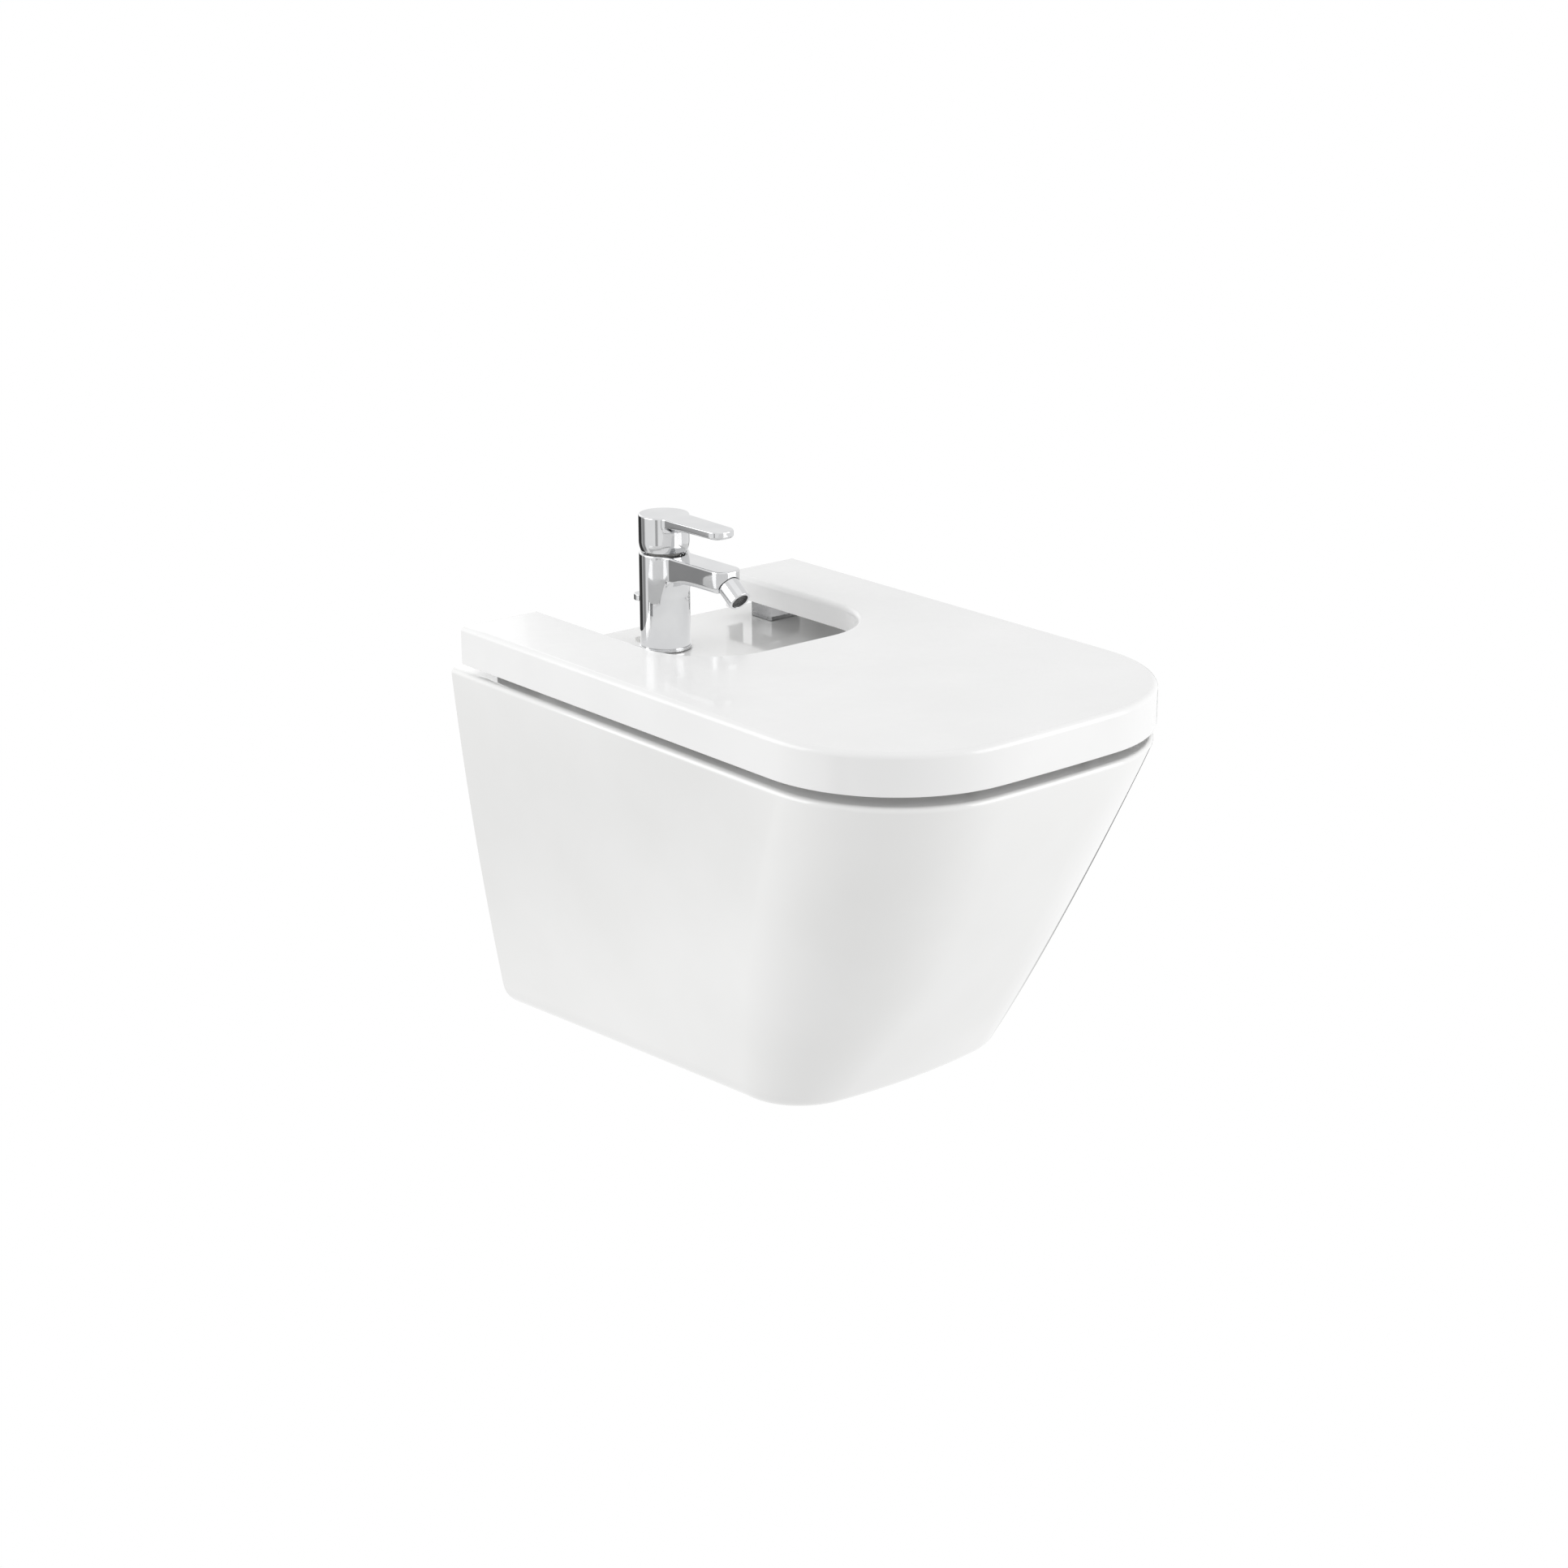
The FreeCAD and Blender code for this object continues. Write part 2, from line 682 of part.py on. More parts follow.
def lid_holes():
    """Holes for the buffers and the leaf screws, and a slot in the rear wall round each hinge."""
    holes = [rod(buffer_stem_radius, point(x, y, buffer_top), buffer_stem_length) for x, y in buffer_places()]
    screw_depth = leaf_screw_length - hinge_leaf_thickness
    slot_half = hinge_block_width / 2 + bolt_room
    sided = [rod(leaf_screw_radius, point(x, y, lid_roof), screw_depth) for x, y in leaf_screw_places()]
    sided.append(box(hinge_mid - slot_half, hinge_mid + slot_half, -lid_rear - 2 * lid_wall, 0,
                     lid_bottom - lid_wall, lid_roof))
    return holes + sided + [mirrored(shape) for shape in sided]


def make_lid_buffers():
    buffers = []
    for x, y in buffer_places():
        head = rod(buffer_radius, point(x, y, deck + swing_gap), buffer_head)
        buffers.append(head.fuse(rod(buffer_stem_radius, point(x, y, buffer_top), buffer_stem_length)))
    return Part.makeCompound(buffers)


def make_hinge_block():
    """Right-hand block: a foot on the deck and two ears round the pin."""
    rear = -hinge_block_front + hinge_block_length
    inner = hinge_block_inner
    outer = hinge_block_inner + hinge_block_width
    foot = box(inner, outer, -hinge_block_front, rear, deck, hinge_block_top)
    ear_radius = rear - hinge_y
    ears = []
    for start in (inner, outer - hinge_ear_width):
        ears.append(box(start, start + hinge_ear_width, hinge_y - ear_radius, rear, hinge_block_top, hinge_z))
        ears.append(rod(ear_radius, point(start, hinge_y, hinge_z), hinge_ear_width, X_AXIS))
    pin_hole = rod(hinge_pin_radius + slip_fit, point(inner, hinge_y, hinge_z), hinge_block_width, X_AXIS)
    stud_hole = rod(hinge_stud_radius, point(hinge_mid, hinge_stud_y, deck), hinge_stud_grip)
    return foot.fuse(ears).cut([pin_hole, stud_hole])


def make_hinge_leaf():
    """Right-hand leaf: a barrel between the ears, a neck and a plate screwed to the lid's roof."""
    start = hinge_block_inner + hinge_ear_width + swing_gap
    width = hinge_block_width - 2 * hinge_ear_width - 2 * swing_gap
    barrel = rod(hinge_barrel_radius, point(start, hinge_y, hinge_z), width, X_AXIS)
    neck = box(start, start + width, hinge_y - hinge_barrel_radius, hinge_y + hinge_barrel_radius,
               hinge_z, lid_roof)
    plate = box(start, start + width, -hinge_leaf_front, hinge_y, leaf_bottom, lid_roof)
    holes = [rod(hinge_pin_radius + running_fit, point(start, hinge_y, hinge_z), width, X_AXIS)]
    for x, y in leaf_screw_places():
        holes.append(rod(leaf_screw_radius + slip_fit, point(x, y, leaf_bottom), hinge_leaf_thickness))
    return barrel.fuse([neck, plate]).cut(holes)


def make_leaf_screws():
    screws = []
    for x, y in leaf_screw_places():
        seat = point(x, y, leaf_bottom)
        shank = rod(leaf_screw_radius, seat, leaf_screw_length)
        screws.append(shank.fuse(rod(leaf_screw_head_radius, seat, leaf_screw_head, -Z_AXIS)))
    return Part.makeCompound(screws + [mirrored(screw) for screw in screws])


def make_hinge_fixing():
    pin = rod(hinge_pin_radius, point(hinge_block_inner, hinge_y, hinge_z), hinge_block_width, X_AXIS)
    head_x = hinge_block_inner + hinge_block_width
    pin = pin.fuse(rod(hinge_pin_head_radius, point(head_x, hinge_y, hinge_z), hinge_pin_head, X_AXIS))
    export("hinge_pins", pair(pin))
    stud_top = point(hinge_mid, hinge_stud_y, deck + hinge_stud_grip)
    stud_length = hinge_stud_grip + deck_thickness + hinge_stud_tail
    export("hinge_studs", pair(rod(hinge_stud_radius, stud_top, stud_length, -Z_AXIS)))
    bore = hinge_stud_radius + slip_fit
    below = point(hinge_mid, hinge_stud_y, deck_under)
    export("hinge_gaskets", pair(ring(hinge_washer_radius, bore, below, hinge_gasket_thickness, -Z_AXIS)))
    below.z -= hinge_gasket_thickness
    export("hinge_washers", pair(ring(hinge_washer_radius, bore, below, hinge_washer_thickness, -Z_AXIS)))
    below.z -= hinge_washer_thickness
    export("hinge_nuts", pair(nut(hinge_nut_flats, bore, below, hinge_nut_height, -Z_AXIS)))


def on_plane(edge, base, normal):
    middle = (edge.FirstParameter + edge.LastParameter) / 2
    places = [edge.valueAt(u) for u in (edge.FirstParameter, middle, edge.LastParameter)]
    return all(abs((place - base).dot(normal)) < edge_tolerance for place in places)


def on_column_front(edge):
    """True for an edge that lies on the tap's round column, on its front half."""
    middle = (edge.FirstParameter + edge.LastParameter) / 2
    places = [edge.valueAt(u) for u in (edge.FirstParameter, middle, edge.LastParameter)]
    on_column = all(abs(math.hypot(p.x, p.y - tap_y) - tap_radius) < edge_tolerance for p in places)
    return on_column and all(p.y < tap_y - tap_radius / 4 for p in places)


def arm_form(wire, z_low, z_high, rounding):
    """Level arm that starts at the tap's axis, with round lower edges."""
    arm = prism(wire, z_low, z_high)
    lower = edges_where(arm, lambda edge: edge_level(edge, z_low) and
                        edge.BoundBox.YMin < tap_y - search_margin)
    return arm.makeFillet(rounding, lower)


def join_arm(column, arm, fillet, base, normal, rounding):
    """Arm joined to the column by a fillet, with a round edge along their common top plane."""
    joined = column.fuse(arm).removeSplitter()
    joint = edges_where(joined, lambda edge: on_column_front(edge) and not on_plane(edge, base, normal))
    joined = joined.makeFillet(fillet, joint)
    top = edges_where(joined, lambda edge: on_plane(edge, base, normal))
    return joined.makeFillet(rounding, top)


def make_tap_body():
    base = point(0, tap_y, tap_bottom)
    column = rod(tap_radius, base, tap_top - tap_bottom)
    outline = tongue_wire(spout_half_width, tap_y, tap_y - spout_reach, spout_tip_radius, spout_tip_bow, 0)
    spout = arm_form(outline, tap_top - spout_depth, tap_top, spout_edge_rounding)
    body = join_arm(column, spout, spout_root_rounding, point(0, tap_y, tap_top), Z_AXIS, tap_edge_rounding)
    body = body.fuse(rod(shank_radius, base, shank_length, -Z_AXIS))
    return body.cut(spout_end_cuts() + tap_hollows())


def spout_end_cuts():
    """Slanted end of the spout, the hollow for the nozzle, and the hole of the ball's stem."""
    return [
        rod(lip_cut, along_nozzle(-cup_lip), lip_cut, nozzle_axis),
        ball(nozzle_radius + cup_room, nozzle_centre),
        rod(ball_stem_radius + slip_fit, along_nozzle(-ball_stem_length), ball_stem_length, nozzle_axis),
    ]


def tap_hollows():
    """Cartridge chamber, the round seat below the handle, the channels and the stud's hole."""
    shank_bottom = tap_bottom - shank_length
    chamber = rod(cartridge_radius + slip_fit, point(0, tap_y, cartridge_base), tap_top - cartridge_base)
    handle_seat = ball(tap_radius + swing_gap + running_fit, point(0, tap_y, pivot_z))
    way_start = point(0, tap_y - cartridge_radius, tap_top - spout_depth + waterway_floor + waterway_radius)
    way = along_nozzle(-ball_stem_length) - way_start
    hollows = [chamber, handle_seat, rod(waterway_radius, way_start, way.Length, way)]
    for side in (-1, 1):
        inlet = point(side * inlet_offset, tap_y + inlet_rear_offset, shank_bottom)
        hollows.append(rod(inlet_radius, inlet, inlet_depth))
        hollows.append(rod(feed_radius, inlet, cartridge_base - shank_bottom))
    hollows.append(rod(tap_stud_radius, point(0, tap_y - tap_stud_offset, shank_bottom), tap_stud_grip))
    return hollows


def make_tap_fixing():
    bore = shank_radius + slip_fit
    export("tap_base_seal", ring(base_seal_radius, bore, point(0, tap_y, deck), base_seal_thickness))
    ring_z = deck + base_seal_thickness
    base_ring = rod(base_ring_radius, point(0, tap_y, ring_z), base_ring_thickness)
    upper = edges_where(base_ring, lambda edge: edge_level(edge, tap_bottom))
    base_ring = base_ring.makeChamfer(base_ring_bevel, upper)
    export("tap_base_ring", base_ring.cut(rod(bore, point(0, tap_y, ring_z), base_ring_thickness)))
    stud_y = tap_y - tap_stud_offset
    stud_bottom = deck_under - tap_stud_tail
    stud_top = tap_bottom - shank_length + tap_stud_grip
    export("tap_stud", rod(tap_stud_radius, point(0, stud_y, stud_bottom), stud_top - stud_bottom))
    export("clamp_gasket", clamp_plate(deck_under - clamp_gasket_thickness, clamp_gasket_thickness))
    washer_z = deck_under - clamp_gasket_thickness - clamp_washer_thickness
    export("clamp_washer", clamp_plate(washer_z, clamp_washer_thickness))
    nut_top = point(0, stud_y, washer_z)
    export("tap_nut", nut(tap_nut_flats, tap_stud_radius + slip_fit, nut_top, tap_nut_height, -Z_AXIS))


def clamp_plate(z_low, thickness):
    """Horseshoe plate below the deck: a hole for the stud and a slot for the hoses."""
    plate = rod(clamp_washer_radius, point(0, tap_y, z_low), thickness)
    stud_hole = rod(tap_stud_radius + slip_fit, point(0, tap_y - tap_stud_offset, z_low), thickness)
    slot = box(-clamp_slot_half, clamp_slot_half, tap_y - clamp_slot_front, tap_y + clamp_washer_radius,
               z_low, z_low + thickness)
    return plate.cut([stud_hole, slot])


def make_cartridge():
    seat = point(0, tap_y, cartridge_base)
    pivot = point(0, tap_y, pivot_z)
    housing = rod(cartridge_radius, seat, cartridge_height)
    housing = housing.fuse(rod(neck_radius, seat, pivot_z + neck_top - cartridge_base))
    disc_room = rod(disc_radius + swing_gap, seat, carrier_bottom + swing_gap - cartridge_base)
    carrier_room = rod(carrier_radius + swing_gap, seat, pivot_z + neck_top - cartridge_base)
    outlet_z = tap_top - spout_depth + waterway_floor + waterway_radius
    outlet = rod(waterway_radius, point(0, tap_y, outlet_z), cartridge_radius, -Y_AXIS)
    export("cartridge_housing", housing.cut([disc_room, carrier_room, outlet]))
    shoulder = point(0, tap_y, cartridge_shoulder)
    export("cartridge_nut", ring(cartridge_radius, neck_radius + slip_fit, shoulder, cartridge_nut_height))
    export("lower_disc", ceramic_disc(cartridge_base, [inlet_rear_offset, -inlet_offset]))
    export("upper_disc", rod(disc_radius, point(0, tap_y, upper_disc_z), disc_thickness)
           .cut(rod(disc_port, point(0, tap_y - inlet_offset, upper_disc_z), disc_thickness)))
    carrier = rod(carrier_radius, point(0, tap_y, carrier_bottom), pivot_z + carrier_top - carrier_bottom)
    slot_half = stem_half + stem_side_room
    carrier_slot = box(-slot_half, slot_half, tap_y - carrier_slot_half, tap_y + carrier_slot_half,
                       pivot_z - carrier_slot_depth, pivot_z + carrier_top)
    pin_hole = rod(stem_pin_radius, pivot - X_AXIS * carrier_radius, 2 * carrier_radius, X_AXIS)
    export("cartridge_carrier", carrier.cut([carrier_slot, pin_hole]))
    export("stem_pin", rod(stem_pin_radius, pivot - X_AXIS * stem_pin_half, 2 * stem_pin_half, X_AXIS))
    stem = box(-stem_half, stem_half, tap_y - stem_half, tap_y + stem_half,
               pivot_z - stem_bottom, handle_ceiling - handle_roof)
    turning_hole = rod(stem_pin_radius + running_fit, pivot - X_AXIS * stem_half, 2 * stem_half, X_AXIS)
    export("cartridge_stem", stem.cut(turning_hole))


def ceramic_disc(z_low, port_rows):
    """Fixed disc with two inlet ports at the first row and one outlet port at the second."""
    disc = rod(disc_radius, point(0, tap_y, z_low), disc_thickness)
    places = [(-inlet_offset, port_rows[0]), (inlet_offset, port_rows[0]), (0, port_rows[1])]
    return disc.cut([rod(disc_port, point(x, tap_y + y, z_low), disc_thickness) for x, y in places])


def ball_skirt(radius):
    """Slice of a ball about the lever's pivot, from the pivot's level down to the handle's lower edge."""
    angle = math.asin(handle_skirt / radius)

    def on_ball(turn):
        return point(radius * math.cos(turn), tap_y, pivot_z - radius * math.sin(turn))

    middle = point(0, tap_y, pivot_z)
    low = point(0, tap_y, pivot_z - handle_skirt)
    rim = Part.Arc(on_ball(angle), on_ball(angle / 2), on_ball(0)).toShape()
    wire = Part.Wire([
        Part.makeLine(low, on_ball(angle)),
        rim,
        Part.makeLine(on_ball(0), middle),
        Part.makeLine(middle, low),
    ])
    return Part.Face(wire).revolve(middle, Z_AXIS, 360)


def make_handle():
    pivot = point(0, tap_y, pivot_z)
    top = point(0, tap_y, handle_ceiling)
    spare = handle_roof
    outline = tongue_wire(lever_half_width, tap_y, tap_y - lever_reach, lever_tip_radius,
                          lever_tip_bow, lever_taper)
    lever = arm_form(outline, handle_ceiling - lever_thickness, handle_ceiling + spare, lever_edge_rounding)
    lever.rotate(top, X_AXIS, lever_droop)
    column = rod(tap_radius, pivot, handle_ceiling + spare - pivot_z)
    above = box(-lever_reach, lever_reach, tap_y - 2 * lever_reach, tap_y + lever_reach,
                handle_ceiling, handle_ceiling + lever_reach)
    above.rotate(top, X_AXIS, lever_droop)
    normal = FreeCAD.Rotation(X_AXIS, lever_droop).multVec(Z_AXIS)
    handle = join_arm(column.cut(above), lever.cut(above), lever_root_rounding,
                      top, normal, handle_edge_rounding)
    inner = tap_radius - handle_wall
    handle = handle.fuse(ball_skirt(tap_radius))
    handle = handle.cut([rod(inner, pivot, handle_ceiling - handle_roof - pivot_z), ball_skirt(inner)])
    handle = handle.fuse(rod(hub_radius, point(0, tap_y, hub_bottom), hub_length))
    half = stem_half + slip_fit
    socket = box(-half, half, tap_y - half, tap_y + half, hub_bottom, hub_bottom + hub_length)
    grub_start = point(0, tap_y + stem_half, hub_bottom + hub_length / 2)
    grub_hole = rod(grub_radius + slip_fit, grub_start, tap_radius, Y_AXIS)
    export("lever_handle", handle.cut([socket, grub_hole]))
    export("grub_screw", rod(grub_radius, grub_start, grub_length, Y_AXIS))


def make_nozzle():
    hollow = nozzle_radius - nozzle_wall
    back = along_nozzle(-nozzle_back)
    socket = ball(socket_radius, nozzle_centre)
    shell = rod(nozzle_radius, nozzle_centre, nozzle_front, nozzle_axis)
    rear_half = rod(nozzle_radius, back, nozzle_back, nozzle_axis).common(ball(nozzle_radius, nozzle_centre))
    shell = shell.fuse(rear_half)
    export("nozzle_shell", shell.cut([
        socket,
        rod(collar_radius + slip_fit, back, nozzle_back, nozzle_axis),
        rod(nozzle_throat, nozzle_centre, nozzle_front, nozzle_axis),
        rod(hollow, along_nozzle(nozzle_web), nozzle_front, nozzle_axis),
    ]))
    export("nozzle_collar", rod(collar_radius, back, nozzle_back, nozzle_axis).cut(socket))
    band = rod(nozzle_radius, along_nozzle(-friction_ring_length / 2), friction_ring_length, nozzle_axis)
    friction_ring = ball(ring_outer, nozzle_centre).cut(ball(ring_inner, nozzle_centre))
    export("friction_ring", friction_ring.common(band))
    stud = ball(ball_radius, nozzle_centre)
    stem_end = along_nozzle(-ball_stem_length)
    stud = stud.fuse(rod(ball_stem_radius, stem_end, ball_stem_length, nozzle_axis))
    export("ball_stud", stud.cut(rod(ball_bore, stem_end, ball_stem_length + ball_radius, nozzle_axis)))
    make_outlet(hollow - slip_fit)


def make_outlet(radius):
    """Jet insert with a ring of holes, and the square mesh in front of it."""
    insert = rod(radius, point(0, 0), aerator_length)
    for step in range(aerator_hole_count):
        angle = 2 * math.pi * step / aerator_hole_count
        place = point(aerator_hole_circle * math.cos(angle), aerator_hole_circle * math.sin(angle))
        insert = insert.cut(rod(aerator_hole, place, aerator_length))
    export("aerator_insert", on_nozzle(insert, nozzle_web))
    disc = rod(radius, point(0, 0), screen_thickness)
    bars = []
    rows = int(radius / screen_pitch)
    for row in range(-rows, rows + 1):
        low = row * screen_pitch - screen_bar / 2
        bars.append(box(low, low + screen_bar, -radius, radius, 0, screen_thickness))
        bars.append(box(-radius, radius, low, low + screen_bar, 0, screen_thickness))
    mesh = bars[0].fuse(bars[1:]).common(disc)
    screen = ring(radius, radius - screen_rim, point(0, 0), screen_thickness).fuse(mesh)
    export("aerator_screen", on_nozzle(screen, screen_start))


def on_nozzle(shape, distance):
    shape.Placement = FreeCAD.Placement(along_nozzle(distance), FreeCAD.Rotation(Z_AXIS, nozzle_axis))
    return shape


def make_lift_rod():
    foot = point(0, rod_y, rod_bottom)
    export("lift_rod", rod(rod_radius, foot, knob_bottom - rod_bottom))
    knob = rod(knob_radius, point(0, rod_y, knob_bottom), knob_height)
    knob_top = knob_bottom + knob_height
    rims = edges_where(knob, lambda edge: edge_level(edge, knob_bottom) or edge_level(edge, knob_top))
    export("lift_knob", knob.makeChamfer(knob_bevel, rims))
    make_rod_guide()
    clamp_top = clamp_bottom + clamp_height
    clamp = box(-clamp_half_width, clamp_half_width, rod_y - clamp_depth, strap_y, clamp_bottom, clamp_top)
    screw_z = clamp_bottom + clamp_height / 2
    screw_start = point(0, strap_y - clamp_screw_reach, screw_z)
    screw_length = clamp_screw_reach + strap_thickness
    screw = rod(clamp_screw_radius, screw_start, screw_length, Y_AXIS)
    rod_hole = rod(rod_radius, foot, clamp_above_end + clamp_height)
    export("rod_clamp", clamp.cut([rod_hole, screw]))
    strap = box(-strap_half_width, strap_half_width, strap_y, strap_y + strap_thickness,
                strap_hole_z - strap_end, clamp_top)
    hole_radius = pivot_rod_radius + strap_hole_room
    pivot_hole = rod(hole_radius, point(0, strap_y, strap_hole_z), strap_thickness, Y_AXIS)
    export("link_strap", strap.cut([pivot_hole, screw]))
    head_start = point(0, strap_y + strap_thickness, screw_z)
    export("clamp_screw", screw.fuse(rod(clamp_screw_head_radius, head_start, clamp_screw_head, Y_AXIS)))


def make_rod_guide():
    foot = point(0, rod_y, deck_under)
    guide = rod(guide_radius, foot, deck_thickness)
    guide = guide.fuse(rod(guide_flange_radius, point(0, rod_y, deck), guide_flange))
    export("rod_guide", guide.cut(rod(rod_radius + slip_fit, foot, deck_thickness + guide_flange)))


def make_pivot_rod():
    centre = point(0, pivot_rod_y, pivot_rod_z)
    inner = drain_y - pivot_rod_nose
    outer = strap_y + strap_thickness + pivot_rod_tail
    bar = rod(pivot_rod_radius, point(0, inner, pivot_rod_z), outer - inner, Y_AXIS)
    bar = bar.fuse(ball(pivot_ball_radius, centre))
    bar.rotate(centre, X_AXIS, -pivot_rod_slope)
    export("pivot_rod", bar)


def make_waste():
    axis = point(0, drain_y, basin_floor)
    neck_length = waste_flange_thickness + waste_neck_length
    flange = rod(waste_flange_radius, axis, waste_flange_thickness, -Z_AXIS)
    flange = flange.fuse(rod(waste_thread_radius, axis, neck_length, -Z_AXIS))
    export("waste_flange", flange.cut(rod(waste_bore, axis, neck_length, -Z_AXIS)))
    thread_hole = waste_thread_radius + slip_fit
    gasket = point(0, drain_y, basin_floor - waste_flange_thickness)
    export("waste_gasket", ring(waste_flange_radius, thread_hole, gasket, waste_gasket_thickness, -Z_AXIS))
    under = point(0, drain_y, ceramic_under)
    export("waste_seal", ring(waste_seal_radius, thread_hole, under, waste_seal_thickness, -Z_AXIS))
    export("waste_body", waste_body_form(thread_hole))
    make_pivot_fittings()
    make_tail()


def waste_body_form(thread_hole):
    """Tube below the basin: collar, threaded socket, and a boss for the pivot rod's ball."""
    top = point(0, drain_y, waste_collar_top)
    body = rod(waste_seal_radius, top, waste_collar_thickness, -Z_AXIS)
    socket_depth = waste_socket_length + waste_socket_wall
    body = body.fuse(rod(thread_hole + waste_socket_wall, top, socket_depth, -Z_AXIS))
    body = body.fuse(rod(waste_outer, top, waste_body_length, -Z_AXIS))
    centre = point(0, pivot_rod_y, pivot_rod_z)
    boss_start = point(0, drain_y, pivot_rod_z)
    body = body.fuse(rod(pivot_boss_radius, boss_start, pivot_boss_y - drain_y, Y_AXIS))
    ball_room = pivot_ball_radius + swing_gap
    return body.cut([
        rod(thread_hole, top, waste_socket_length, -Z_AXIS),
        rod(waste_bore, top, waste_body_length, -Z_AXIS),
        rod(pivot_passage, boss_start, pivot_reach, Y_AXIS),
        ball(ball_room, centre),
        rod(ball_room, centre, pivot_boss_end, Y_AXIS),
    ])


def make_pivot_fittings():
    centre = point(0, pivot_rod_y, pivot_rod_z)
    ball_room = pivot_ball_radius + swing_gap
    seat_start = centre + Y_AXIS * pivot_seat_start
    seat_length = pivot_boss_end - pivot_seat_start
    seat = ring(ball_room - running_fit, pivot_seat_bore, seat_start, seat_length, Y_AXIS)
    export("pivot_seat", seat.cut(ball(ball_room, centre)))
    skirt_start = point(0, pivot_boss_y - pivot_nut_skirt, pivot_rod_z)
    cap = rod(pivot_nut_radius, skirt_start, pivot_nut_skirt + pivot_nut_wall, Y_AXIS)
    export("pivot_nut", cap.cut([
        rod(pivot_boss_radius + slip_fit, skirt_start, pivot_nut_skirt, Y_AXIS),
        rod(pivot_nut_bore, skirt_start, pivot_nut_skirt + pivot_nut_wall, Y_AXIS),
    ]))


def make_tail():
    spigot_radius = tail_radius - tail_spigot_step
    spigot_length = tail_grip + tail_washer_thickness + tail_nut_lip + tail_shoulder_gap
    pipe_bore = tail_radius - tail_wall
    spigot_top = point(0, drain_y, waste_bottom + tail_grip)
    pipe_top = spigot_top - Z_AXIS * spigot_length
    pipe = ring(tail_radius, pipe_bore, pipe_top, tail_length - spigot_length, -Z_AXIS)
    export("tail_pipe", pipe.fuse(ring(spigot_radius, pipe_bore, spigot_top, spigot_length, -Z_AXIS)))
    washer_top = point(0, drain_y, waste_bottom)
    pipe_hole = spigot_radius + slip_fit
    export("tail_washer", ring(waste_outer, pipe_hole, washer_top, tail_washer_thickness, -Z_AXIS))
    nut_top = point(0, drain_y, waste_bottom + tail_nut_skirt)
    recess = tail_nut_skirt + tail_washer_thickness
    tail_nut = nut(tail_nut_flats, pipe_hole, nut_top, recess + tail_nut_lip, -Z_AXIS)
    export("tail_nut", tail_nut.cut(rod(waste_outer + slip_fit, nut_top, recess, -Z_AXIS)))


def make_plug():
    base = point(0, drain_y, plug_bottom)
    top_z = plug_bottom + plug_thickness
    dome_radius = (plug_radius ** 2 + plug_dome ** 2) / (2 * plug_dome)
    dome = ball(dome_radius, point(0, drain_y, top_z + plug_dome - dome_radius))
    dome = dome.common(rod(plug_radius, point(0, drain_y, top_z), plug_dome))
    plug = rod(plug_radius, base, plug_thickness).fuse(dome)
    rod_half = pivot_rod_radius / math.cos(math.radians(pivot_rod_slope))
    rod_top = pivot_rod_z + (pivot_reach + plug_stem_radius) * slope + rod_half
    stem_length = plug_bottom - rod_top - plug_stem_room
    fin_half = waste_bore - plug_fin_room
    half = plug_fin_thickness / 2
    fin_low = plug_bottom - plug_fin_height
    plug = plug.fuse([
        rod(plug_stem_radius, base, stem_length, -Z_AXIS),
        box(-fin_half, fin_half, drain_y - half, drain_y + half, fin_low, plug_bottom),
        box(-half, half, drain_y - fin_half, drain_y + fin_half, fin_low, plug_bottom),
    ])
    export("plug", plug)
    seal_outer = plug_radius - plug_seal_width / 4
    export("plug_seal", ring(seal_outer, seal_outer - plug_seal_width, base, plug_seal_section, -Z_AXIS))


def main():
    os.makedirs("parts", exist_ok=True)
    export("bowl", make_bowl())
    make_wall_fixing()
    export("lid", make_lid())
    export("lid_buffers", make_lid_buffers())
    export("hinge_block_right", make_hinge_block())
    export("hinge_block_left", mirrored(make_hinge_block()))
    export("hinge_leaf_right", make_hinge_leaf())
    export("hinge_leaf_left", mirrored(make_hinge_leaf()))
    export("hinge_leaf_screws", make_leaf_screws())
    make_hinge_fixing()
    export("tap_body", make_tap_body())
    make_tap_fixing()
    make_cartridge()
    make_handle()
    make_nozzle()
    make_lift_rod()
    make_pivot_rod()
    make_waste()
    make_plug()


main()
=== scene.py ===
# %% [markdown]
# This lesson gives a wall-hung bidet its looks: a ceramic bowl, a notched lid, and a tap with a lever and a
# spray nozzle. The drawn pieces come in from the CAD frame, each on the body it moves with. All of them could
# be modelled again, but most are hidden or already right, so only those that the eye rests on are.

